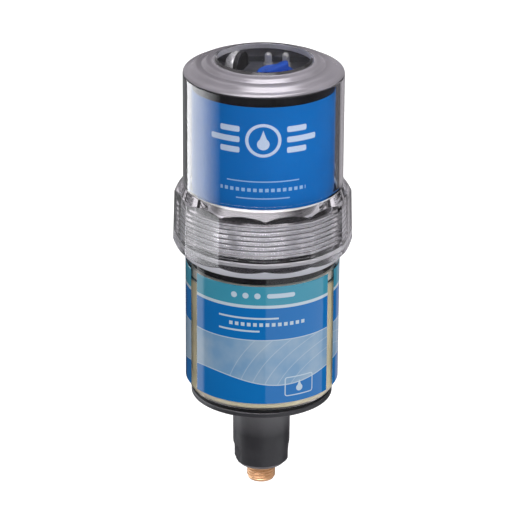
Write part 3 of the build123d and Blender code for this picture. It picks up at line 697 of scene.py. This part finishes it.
def threaded(radius, start, end, pitch, depth, low_end, high_end, inward=False, seam=0.0):
    """Rows of a wall with a right-hand thread on it, from low_end up to high_end.

    The rows climb with the thread, so that after a full turn each meets the row a pitch above it."""
    sign = -1 if inward else 1
    run_out = 0.8

    def row(share):
        flank = 1 - abs(2 * (share % 1) - 1)
        crest = flank * flank * (3 - 2 * flank)

        def spot(angle):
            height = min(max(start + pitch * (share - 1 + (angle - seam) / TAU), start), end)
            fade = min(1.0, (height - start) / run_out, (end - height) / run_out)
            return radius + sign * depth * crest * fade, height
        return spot
    count = PER_TURN * (math.ceil((end - start) / pitch) + 1)
    ends = [(radius, low_end), (radius, max(start - 0.15, low_end + 0.01))]
    tops = [(radius, min(end + 0.15, high_end - 0.01)), (radius, high_end)]
    return ends + [row(index / PER_TURN) for index in range(count + 1)] + tops


def soft_min(first, second, blend):
    """The smaller of two values, with the corner between them rounded."""
    gap = max(blend - abs(first - second), 0.0) / blend
    return min(first, second) - gap * gap * blend / 4


def from_flat(angle):
    """Turn from the middle of the collar's flat at an angle."""
    return (angle - COLLAR_SEAM) % COLLAR_SIDE - COLLAR_SIDE / 2


def collar_radius(angle, height):
    """Radius of the cover's outside over the collar: a tapering polygon cut by two cones."""
    turn = from_flat(angle)
    corner = COLLAR_CORNER_LOW + COLLAR_TAPER * (height - COLLAR_LOW)
    flat = corner * math.cos(COLLAR_SIDE / 2) / math.cos(turn)
    beside = corner * math.cos(COLLAR_SIDE / 2) / math.cos(COLLAR_SIDE - abs(turn))
    flat = soft_min(flat, beside, 0.12)
    cone_low = COVER_R + (height - COVER_LOW) * CONE_LOW
    cone_high = COVER_R + (COLLAR_TOP - height) * CONE_HIGH
    return max(COVER_R, soft_min(soft_min(flat, cone_low, 0.16), cone_high, 0.16))


def collar_edges(angle):
    """Heights where a flat meets the lower and the upper cone, at an angle."""
    share = math.cos(COLLAR_SIDE / 2) / math.cos(from_flat(angle))
    start = (COLLAR_CORNER_LOW - COLLAR_TAPER * COLLAR_LOW) * share
    slope = COLLAR_TAPER * share
    bottom = (start - COVER_R + COVER_LOW * CONE_LOW) / (CONE_LOW - slope)
    top = (COVER_R + COLLAR_TOP * CONE_HIGH - start) / (CONE_HIGH + slope)
    return bottom, top


def collar_rows():
    """Rows from the cover's foot to the collar's top, with close rows along both edges of the flats."""
    foot = COVER_LOW + 0.25
    near = 0.45
    close = (-0.3, -0.15, -0.05, 0.05, 0.15, 0.3)

    def row(place):
        def spot(angle):
            bottom, top = collar_edges(angle)
            height = place(bottom, top)
            return collar_radius(angle, height), height
        return spot

    def along(start, end, count):
        return [row(lambda low, top, t=i / count: start(low, top) * (1 - t) + end(low, top) * t)
                for i in range(count + 1)]
    rows = along(lambda bottom, top: foot, lambda bottom, top: bottom - near, 5)
    rows += [row(lambda bottom, top, d=d: bottom + d) for d in close]
    rows += along(lambda bottom, top: bottom + near, lambda bottom, top: top - near, 16)
    rows += [row(lambda bottom, top, d=d: top + d) for d in close]
    rows += along(lambda bottom, top: top + near, lambda bottom, top: COLLAR_TOP, 6)
    return rows


def collar_angles():
    """Angles of the cover's columns, close together at the collar's corners."""
    side = 360 / COLLAR_SIDES
    near = (0.0, 0.12, 0.3, 0.6, 1.0)
    even = [1.0 + (side - 2.0) * i / 20 for i in range(1, 20)]
    turns = list(near) + even + [side - value for value in reversed(near[1:])]
    made = [math.radians(COLLAR_TURN - 90 + side * k + turn)
            for k in range(COLLAR_SIDES) for turn in turns]
    return made + [made[0] + TAU]


def cover_shell():
    """Clear cover in one closed skin: collar, wall, satin stepped roof, clear window, threaded bore."""
    # outside, up from the collar: the eave and two steps, the window's rim and its faint dome
    roof = [(COVER_R, COLLAR_TOP + 0.2), (COVER_R, EAVE), (31.2, EAVE + 0.8), (28.6, EAVE + 2.45),
            (26.4, EAVE + 2.8), (25.8, EAVE + 2.8), (24.1, EAVE + 4.1), (21.9, EAVE + 4.4),
            (RIM_R, EAVE + 4.6), (WINDOW_R, WINDOW_TOP)]
    outer = collar_rows()
    outer += rounded(roof, [0, 1.3, 0.9, 1.0, 0.5, 0.5, 0.8, 0.4, 0.5, 0], 6, closed=False)
    shares = [1 - i / 10 for i in range(1, 10)] + [0.0]
    outer += [(WINDOW_R * share, WINDOW_TOP + DOME * (1 - share ** 2)) for share in shares]
    # inside, down from the window: its well and lip, the wall, the shoulder over the seal, the bore
    inner = rounded([
        (0.0, WINDOW_TOP - 1.6), (20.3, WINDOW_TOP - 1.6), (20.8, WINDOW_TOP - 4.7),
        (22.4, WINDOW_TOP - 4.9), (COVER_INNER, EAVE - 1.0),
        (COVER_INNER, SHOULDER + COVER_BORE - COVER_INNER), (COVER_BORE, SHOULDER),
        (COVER_BORE, THREAD_HIGH + 1.5),
    ], 0.35, 4, closed=False)
    bore = threaded(COVER_BORE + 0.7, THREAD_LOW, THREAD_HIGH, THREAD_PITCH, THREAD_DEPTH * 0.55,
                    THREAD_LOW - 0.6, THREAD_HIGH + 0.7, inward=True, seam=COLLAR_SEAM)
    bore.reverse()
    groove = COVER_BORE + 0.6
    foot = [(COVER_BORE, THREAD_LOW - 1.0), (COVER_BORE, GROOVE_TOP), (groove, GROOVE_TOP - 0.4),
            (groove, GROOVE_LOW + 0.4), (COVER_BORE, GROOVE_LOW), (COVER_BORE, COVER_LOW + 0.25),
            (COVER_BORE + 0.2, COVER_LOW), (COVER_R - 0.2, COVER_LOW)]
    rows = outer + inner + bore + foot
    piece = sweep("cover_shell", rows, COVER_CLEAR, "cover", angles=collar_angles(), seam=True)
    for material in (COVER_SATIN, PAINTED_PALE_SHEEN, PAINTED_GREY_SHEEN):
        piece.data.materials.append(material)
    on_roof, on_skirt, on_groove = 1, 2, 3
    for face in piece.data.polygons:
        spot = face.center / MM
        radius = math.hypot(spot.x, spot.y)
        inward = face.normal.x * spot.x + face.normal.y * spot.y < 0
        lip = 20.35 < radius < 21.2 and spot.z > WINDOW_TOP - 5.0 and inward
        skirt = radius > COVER_R and spot.z < collar_edges(math.atan2(spot.y, spot.x))[0] - 0.1
        if radius > RIM_R - 0.25 and spot.z > EAVE + (COVER_R - radius) * 0.3 - 0.6:
            face.material_index = on_roof
        # painted reflection: pale sheen on the lower cone and the window's lip
        elif skirt or lip:
            face.material_index = on_skirt
        # painted reflection: grey sheen in the clear groove
        elif 0.05 < radius - COVER_BORE < 0.7 and GROOVE_LOW < spot.z < GROOVE_TOP:
            face.material_index = on_groove
    stand_in(piece, "cover")


def canister_shell():
    """Clear canister in one closed skin, with the neck's thread."""
    spout_low = low("canister").z
    root = NECK_R - 0.6
    outside = rounded([
        (4.0, spout_low), (9.0, spout_low), (9.0, SEAL_TOP), (30.45, SEAL_TOP),
        (CANISTER_R, SEAL_TOP + 4.0), (CANISTER_R, NECK_LOW), (root, NECK_LOW + 0.8),
    ], 0.35, 4, closed=False)
    neck = threaded(root, THREAD_LOW, THREAD_HIGH, THREAD_PITCH, THREAD_DEPTH,
                    THREAD_LOW - 0.6, CANISTER_TOP - 0.3)
    inside = rounded([
        (NECK_R - 0.8, CANISTER_TOP), (BORE_R, CANISTER_TOP), (BORE_R, FLOOR_Z + CHAMFER),
        (CHAMFER_R, FLOOR_Z), (4.0, FLOOR_Z),
    ], 0.25, 3, closed=False)
    piece = sweep("canister_shell", outside + neck + inside, CANISTER_CLEAR, "lubricator",
                  segments=288, seam=True)
    # painted reflection: grey sheen on the clear neck thread
    piece.data.materials.append(PAINTED_GREY_SHEEN)
    for face in piece.data.polygons:
        spot = face.center / MM
        on_thread = THREAD_LOW + 0.4 < spot.z < THREAD_HIGH + 0.3
        if on_thread and math.hypot(spot.x, spot.y) > BORE_R + 0.2:
            face.material_index = 1
    stand_in(piece, "canister")


def grease_fill():
    """Soft grease with a faintly uneven skin."""
    top = high("grease").z
    contact = BORE_R + 0.04
    wall = FLOOR_Z + CHAMFER
    rows = [(4.3, FLOOR_Z - 0.04), (CHAMFER_R, FLOOR_Z - 0.04), (contact, wall)]
    rows += [(contact, wall + (top - wall) * i / 24) for i in range(1, 25)]
    rows += [(4.3, top)]
    piece = sweep("grease_fill", rows, GREASE, "lubricator")
    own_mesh(piece)
    stand_in(piece, "grease")


def film(name, node, radius, material, slot, **span):
    """Thin printed film just off a wall, its edge slightly rounded."""
    inner = radius + 0.02
    rows = rounded(tube(inner, inner + 0.15, low(node).z, high(node).z), 0.05, 2)
    stand_in(sweep(name, rows, material, "lubricator", **span), node)


def drive_shell():
    """Black housing of the drive, with its flange and softly rounded rim."""
    groove = HOUSING_LOW + 9.0
    flange_top = CANISTER_TOP + 1.6
    rows = rounded([
        (28.0, HOUSING_LOW), (HOUSING_R, HOUSING_LOW), (HOUSING_R, groove - 1.4),
        (29.1, groove - 1.4), (29.1, groove + 1.4), (HOUSING_R, groove + 1.4),
        (HOUSING_R, CANISTER_TOP), (FLANGE_R, CANISTER_TOP), (FLANGE_R, flange_top),
        (HOUSING_R, flange_top), (HOUSING_R, HOUSING_TOP - 0.6), (29.2, HOUSING_TOP),
        (28.0, HOUSING_TOP),
    ], 0.22, 3)
    piece = sweep("drive_shell", rows, BLACK, "lubricator")
    stand_in(piece, "drive_housing")


FLATS_R = 10.85
FLATS_TURN = math.radians(15.6)
FLATS_HEIGHT = 9.3


def stem_radius(angle, height, radius):
    """Radius of the stem with its two wrench flats, the flats' run-out rounded."""
    if height > STEM_LOW + FLATS_HEIGHT:
        return radius
    across = abs(math.cos(angle - FLATS_TURN))
    return soft_min(radius, FLATS_R / max(across, 1e-3), 0.1)


def outlet_body():
    """Dark stem and foot, with close rows up the stem so that the flats' edges stay crisp."""
    foot = FOOT_TOP - 2.3
    corners = [(7.6, STEM_LOW), (9.82, STEM_LOW), (11.72, STEM_LOW + 1.9), (11.76, STEM_LOW + 5.5),
               (12.3, STEM_LOW + 10.5), (12.42, foot), (30.3, foot), (30.3, FOOT_TOP),
               (12.2, FOOT_TOP), (12.2, SEAL_TOP), (9.1, SEAL_TOP), (9.1, 31.0), (7.6, 31.0)]
    sizes = [0.1, 0.15, 0.15, 0.3, 0.4, 0.6, 0.6, 0.6, 0.3, 0.1, 0.1, 0.1, 0.1]
    profile = rounded(corners, sizes, 4)
    dense = []
    for index, here in enumerate(profile):
        after = profile[(index + 1) % len(profile)]
        dense.append(here)
        across, up = after[0] - here[0], after[1] - here[1]
        length = math.hypot(across, up)
        if here[1] < FOOT_TOP - 3 and here[0] > 8 and after[0] > 8 and length > 1.0:
            parts = int(length / 0.7)
            dense += [(here[0] + across * i / parts, here[1] + up * i / parts)
                      for i in range(1, parts)]

    def row(radius, height):
        return lambda angle: (stem_radius(angle, height, radius), height)
    rows = [row(*spot) if spot[0] > 9.3 and spot[1] < STEM_LOW + 12 else spot for spot in dense]
    piece = sweep("outlet_body", rows, STEM, "lubricator", smooth_angle=40)
    stand_in(piece, "outlet_base")


def nipple():
    """Brass nipple with its pipe thread."""
    rows = [(3.2, 0.0), (5.45, 0.0)]
    rows += threaded(5.6, 0.45, STEM_LOW - 0.02, 1.337, 0.6, 0.25, STEM_LOW)
    top = STEM_LOW + 13.4
    rows += rounded([(7.6, STEM_LOW), (7.6, top), (3.2, top)], 0.2, 2, closed=False)
    piece = sweep("nipple", rows, BRASS, "lubricator", segments=144, seam=True, smooth_angle=70)
    stand_in(piece, "outlet_nipple")


def rings():
    """Rubber band round the foot and pale seal under the cover's shoulder, with soft edges."""
    rows = rounded(tube(27.1, 29.7, FOOT_TOP, SEAL_TOP), 0.3, 3)
    stand_in(sweep("foot_band", rows, RUBBER, "lubricator"), "base_seal")
    rows = rounded(tube(31.1, 32.6, low("cover_seal").z, high("cover_seal").z), 0.3, 4)
    stand_in(sweep("collar_ring", rows, PALE, "cover_seal"), "cover_seal")


def lamps():
    """Clear lamps: a domed body with a flange, and the die cup and leads inside it."""
    base = low("panel_screws").z + 5.0
    arc = [t * math.pi / 16 for t in range(8)]
    dome = [(1.5 * math.cos(t), 3.3 + 1.5 * math.sin(t)) for t in arc] + [(0.0, 4.8)]
    body = [(0.0, 0.0), (1.9, 0.0), (1.9, 0.95), (1.5, 1.05)] + dome
    cup = [(0.0, 1.9), (0.35, 1.9), (0.7, 2.6), (0.5, 2.6), (0.3, 2.2), (0.0, 2.2)]
    for node in ("signal_lamp_left", "signal_lamp_right"):
        x, y = middle_of(node)
        lens = turned(f"{node}_lens", body, LAMP, "lubricator", (x, y, base), closed=False)
        stand_in(lens, node)
        for side, word in ((-1, "left"), (1, "right")):
            lead = turned(f"{node}_lead_{word}", tube(0.0, 0.25, -7.4, 2.4 + 0.3 * side), TIN,
                          "lubricator", (x + 0.62 * side, y, base), segments=16)
        die = turned(f"{node}_cup", cup, TIN, "lubricator", (x - 0.3, y, base), segments=24)


CAN_TURN = math.radians(-25)
CAN_LENGTH = 5.4
CAN_END_LENGTH = 2.2


def silver_can():
    """Domed can lying in the panel, with a rolled bead and a black end turned to the front."""
    end_low, end_high = low("capacitor_end"), high("capacitor_end")
    radius = (high("capacitor").z - low("capacitor").z) / 2
    edge = (end_high.z - end_low.z) / 2
    axis = Vector((math.cos(CAN_TURN), math.sin(CAN_TURN), 0))
    joint = (end_low + end_high) / 2 - axis * (CAN_END_LENGTH / 2)
    arc = [t * math.pi / 24 for t in range(13)]
    rows = [(0.0, 0.0)]
    rows += [(min(0.4 + 5.2 * math.sin(t), radius), 5.2 - 5.2 * math.cos(t)) for t in arc]
    seam = CAN_LENGTH - 0.05
    rows += rounded([(radius, 5.25), (radius, seam), (0.0, seam)], 0.05, 1, closed=False)[1:]
    can = turned("silver_can", rows, SILVER, "lubricator", joint - axis * CAN_LENGTH, axis)
    stand_in(can, "capacitor")
    dish = CAN_END_LENGTH - 0.35
    rows = rounded([(0.0, 0.0), (edge, 0.0), (edge, CAN_END_LENGTH), (edge * 0.78, CAN_END_LENGTH),
                    (edge * 0.74, dish), (0.0, dish)], 0.5, 4)
    end = turned("can_end", rows, RUBBER, "lubricator", joint, axis)
    stand_in(end, "capacitor_end")


GRIP_HALF = 7.3
GRIP_END_R = 1.7
GRIP_TURN = math.radians(52)


def dial():
    """Blue selector: a dished flange on a stem, with a tapered grip bar across it."""
    x, y = middle_of("time_dial")
    base = high("time_dial").z - 3.1
    foot = low("time_dial").z - base
    radius = (high("time_dial").x - low("time_dial").x) / 2
    rows = rounded([(0.0, 0.0), (radius, 0.0), (radius, 0.85), (radius - 0.45, 1.3),
                    (radius - 1.2, 1.3), (radius - 1.9, 1.0), (0.0, 1.0)], 0.2, 3)
    stand_in(turned("dial_flange", rows, BLUE, "dial", (x, y, base)), "time_dial")
    stem = turned("dial_stem", tube(0.0, 3.0, foot, 0.1), BLUE, "dial", (x, y, base), segments=48)
    count = 48
    outline = []
    for i in range(count):
        angle = TAU * i / count
        offset = math.copysign(GRIP_HALF - GRIP_END_R, math.cos(angle))
        outline.append((offset + GRIP_END_R * math.cos(angle), GRIP_END_R * math.sin(angle)))
    levels = [(0.9, 1.0), (1.3, 1.0), (2.7, 0.86), (3.0, 0.72), (3.1, 0.5)]
    verts, faces = [], []
    for height, share in levels:
        for px, py in outline:
            spot = Vector((px * (0.94 + 0.06 * share), py * share, 0))
            spot.rotate(Matrix.Rotation(GRIP_TURN, 3, "Z"))
            verts.append(spot + Vector((x, y, base + height)))
    for level in range(len(levels) - 1):
        for i in range(count):
            here, after = level * count + i, level * count + (i + 1) % count
            faces.append((here, after, after + count, here + count))
    faces.append(list(reversed(range(count))))
    faces.append([(len(levels) - 1) * count + i for i in range(count)])
    make_object("dial_grip", verts, faces, BLUE, "dial", 40)


# -------- printed films
class Print(Mat):
    """A printed film: shapes in millimetres across from the front and up, over a ground colour."""

    def __init__(self, name, radius, rough):
        super().__init__(name, (0.5, 0.5, 0.5), rough)
        z, angle = self.place()
        self.across = self.times(angle, radius)
        self.up = self.math("DIVIDE", z, MM)

    def within(self, value, start, end, soft=0.12):
        """1 where a value lies between two limits."""
        return self.times(self.step(value, start, soft),
                          self.less(1.0, self.step(value, end, soft)))

    def off(self, value, middle):
        """Distance of a value from a middle."""
        return self.math("ABSOLUTE", self.less(value, middle))

    def length(self, first, second):
        squares = self.math("ADD", self.times(first, first), self.times(second, second))
        return self.math("SQRT", squares)

    def box(self, across, up, width, height, corner=0.4):
        """Distance out from a rounded box."""
        side = self.less(self.off(self.across, across), width / 2 - corner)
        rise = self.less(self.off(self.up, up), height / 2 - corner)
        return self.less(self.length(self.most(side, 0.0), self.most(rise, 0.0)), corner)

    def disc(self, across, up, radius):
        """Distance out from a disc."""
        side, rise = self.less(self.across, across), self.less(self.up, up)
        return self.less(self.length(side, rise), radius)

    def drop(self, across, up, radius, height):
        """Distance out from a drop: a disc below and a point above."""
        rise = self.most(self.less(self.up, up), 0.0)
        share = self.math("POWER", self.math("DIVIDE", rise, height), 0.8)
        edge = self.times(radius, self.less(1.0, share))
        tip = self.less(self.off(self.across, across), edge)
        upper = self.most(tip, self.less(up, self.up))
        return self.least(self.disc(across, up, radius), upper)

    def inside(self, distance, soft=0.12):
        """1 inside a shape given by its distance."""
        return self.span(distance, -soft / 2, soft / 2, 1.0, 0.0)

    def outline(self, distance, width, soft=0.12):
        """1 on a shape's outline."""
        return self.inside(self.less(self.math("ABSOLUTE", distance), width / 2), soft)

    def bar(self, across, up, width, height, corner):
        return self.inside(self.box(across, up, width, height, corner))

    def dashes(self, across, up, width, height, pitch):
        """A row of short dashes."""
        phase = self.math("FRACT", self.math("DIVIDE", self.math("ADD", self.across, 100.0), pitch))
        row = self.bar(across, up, width, height, 0.1)
        return self.times(row, self.within(phase, 0.02, 0.62, 0.06))

    def finish(self, color, low_rough, high_rough, shine):
        self.drive("Base Color", color)
        self.rough(low_rough, high_rough, 90.0)
        self.set("Specular IOR Level", shine)
        self.bump(self.noise(260.0, 3.0), 0.05, 0.00002)
        return self.mat


EMBLEM_UP = 167.5
BAR_START = 9.6
RULES_UP = 145.8
RULE_GAP = 3.7


def drive_print():
    """Blue film with a drop in a ring between bars, and thin rules under it, all generic."""
    made = Print("drive_print", HOUSING_R, 0.32)
    blue = made.drift(srgb(0, 98, 174), srgb(0, 104, 182), 30.0)
    shapes = [made.outline(made.disc(0.0, EMBLEM_UP, 6.6), 1.3),
              made.inside(made.drop(0.0, EMBLEM_UP - 1.6, 2.5, 6.0))]
    for side in (-1, 1):
        for rise, length in ((4.5, 8.5), (0.0, 13.0), (-4.5, 8.5)):
            across = side * (BAR_START + length / 2)
            shapes.append(made.bar(across, EMBLEM_UP + rise, length, 2.5, 0.7))
    small = made.most(made.bar(0.0, RULES_UP + RULE_GAP, 30.0, 0.5, 0.1),
                      made.dashes(0.0, RULES_UP, 36.0, 1.5, 2.4),
                      made.bar(0.0, RULES_UP - RULE_GAP, 22.0, 0.5, 0.1))
    color = made.mix(made.most(*shapes), blue, srgb(186, 203, 224))
    color = made.mix(small, color, srgb(140, 178, 214))
    return made.finish(color, 0.3, 0.38, 0.1)


WAVE_UP = 61.0
WAVE_HEIGHT = 2.3
WAVE_SHIFT = 8.2
PANEL_TOP = 79.1
PANEL_LINE = 0.4
LINE_LOW = 93.8
LINE_HIGH = 95.2
MARKS_UP = 99.4
TEXT_UP = 86.4
BADGE = (16.5, 57.4)


def canister_print(name):
    """Film in bands: teal, a white line, blue and a pale panel with a wavy foot, with plain marks."""
    made = Print(name, CANISTER_R, 0.2)
    blue = made.drift(srgb(10, 112, 188), srgb(16, 117, 193), 30.0)
    teal = made.drift(srgb(62, 150, 178), srgb(70, 157, 184), 40.0)
    # three whole waves round the canister, so that they meet at the back
    turn = made.math("DIVIDE", made.math("ADD", made.across, WAVE_SHIFT), CANISTER_R / 3)
    wave = made.times(made.math("SINE", turn), -WAVE_HEIGHT)
    above = made.less(made.up, made.math("ADD", wave, WAVE_UP))

    def panel(start, end):
        return made.times(made.step(above, start, 0.12),
                          made.less(1.0, made.step(made.up, end, 0.12)))
    pale = made.drift(srgb(122, 162, 200), srgb(168, 190, 210), 55.0, 0.35, 0.7, 4.0)
    arcs = made.most(*(made.outline(made.disc(34.0, 44.0, 26.0 + 5.0 * i), 0.3, 0.3) for i in range(6)))
    pale = made.mix(made.times(arcs, 0.45), pale, srgb(206, 220, 232))
    color = made.mix(panel(-0.45, PANEL_TOP + PANEL_LINE), blue, srgb(190, 208, 224))
    color = made.mix(panel(0.0, PANEL_TOP), color, pale)
    color = made.mix(made.within(made.up, LINE_LOW, LINE_HIGH), color, srgb(200, 216, 228))
    color = made.mix(made.step(made.up, LINE_HIGH, 0.12), color, teal)
    marks = [made.inside(made.disc(across, MARKS_UP, 1.3)) for across in (-12.0, -7.0, -2.0)]
    marks += [made.bar(8.0, MARKS_UP, 12.0, 2.0, 0.9), made.bar(-6.0, TEXT_UP + 2.8, 26.0, 0.8, 0.2),
              made.dashes(2.0, TEXT_UP, 34.0, 1.6, 2.6), made.bar(-10.0, TEXT_UP - 3.0, 18.0, 0.8, 0.2),
              made.outline(made.box(*BADGE, 13.0, 8.4, 1.0), 0.45),
              made.inside(made.drop(BADGE[0], BADGE[1] - 1.2, 1.5, 3.6))]
    color = made.mix(made.most(*marks), color, srgb(196, 214, 230))
    return made.finish(color, 0.05, 0.08, 0.5)


def stem_material():
    """Dark grey moulding, paler towards the foot by a painted reflection."""
    made = Mat("stem_moulding", srgb(52, 52, 56), 0.42)
    z = made.place()[0]
    base = made.drift(srgb(44, 44, 48), srgb(50, 50, 54), 60.0, 0.35, 0.65)
    # painted reflection: the stem's upper part turns a paler grey, stopped short of the foot
    below_foot = made.less(1.0, made.step(z, 0.0405, 0.001))
    painted_reflection = made.times(made.span(z, 0.024, 0.036), below_foot)
    made.drive("Base Color", made.mix(painted_reflection, base, srgb(112, 111, 115)))
    made.rough(0.36, 0.5, 140.0)
    made.bump(made.noise(1400.0, 4.0), 0.25, 0.00003)
    return made.mat


def grease_material():
    """Cream grease, a little translucent, with a soft uneven skin."""
    made = Mat("cream_grease", srgb(212, 202, 170), 0.45)
    made.vary(srgb(214, 204, 172), srgb(202, 192, 160), 70.0)
    made.set("Subsurface Weight", 0.15)
    made.set("Subsurface Radius", (0.004, 0.003, 0.002))
    made.bump(made.noise(120.0, 4.0), 0.3, 0.0002)
    return made.mat


DRIVE_PRINT = drive_print()
FRONT_PRINT = canister_print("front_print")
BACK_PRINT = canister_print("back_print")
GREASE = grease_material()
STEM = stem_material()

# -------- pieces
camera()
studio()
for strip in STRIPS:
    strip_light(*strip)
floor()
cover_shell()
canister_shell()
grease_fill()
for side, start, arc, printed in (("front", -147, 114, FRONT_PRINT), ("back", -23, 226, BACK_PRINT)):
    film(f"{side}_film", f"canister_label_{side}", CANISTER_R, printed, "canister_label",
         segments=160, start=math.radians(start), arc=math.radians(arc))
drive_shell()
film("drive_film", "drive_label", HOUSING_R, DRIVE_PRINT, "drive_label", segments=288)
outlet_body()
nipple()
rings()
lamps()
silver_can()
dial()

INNER = {
    JACKET: ("battery_1", "battery_2", "battery_3", "battery_4"),
    STEEL: ("spindle", "idler_axle", "motor"),
    GEAR: ("output_gear", "idler_gear"),
    BRASS: ("motor_pinion",),
    BLACK: ("drive_floor", "gear_plate", "cell_retainer"),
    BRONZE: ("spindle_bush",),
    TIN: ("contact_springs", "contact_strips", "panel_screws"),
    BOARD: ("circuit_board",),
    PANEL: ("control_panel",),
    WHITE: ("piston",),
    RUBBER: ("piston_seal", "drive_seal", "spout_seal"),
}
for material, nodes in INNER.items():
    for node in nodes:
        skin(node, material)

bpy.context.scene.view_settings.view_transform = "Standard"
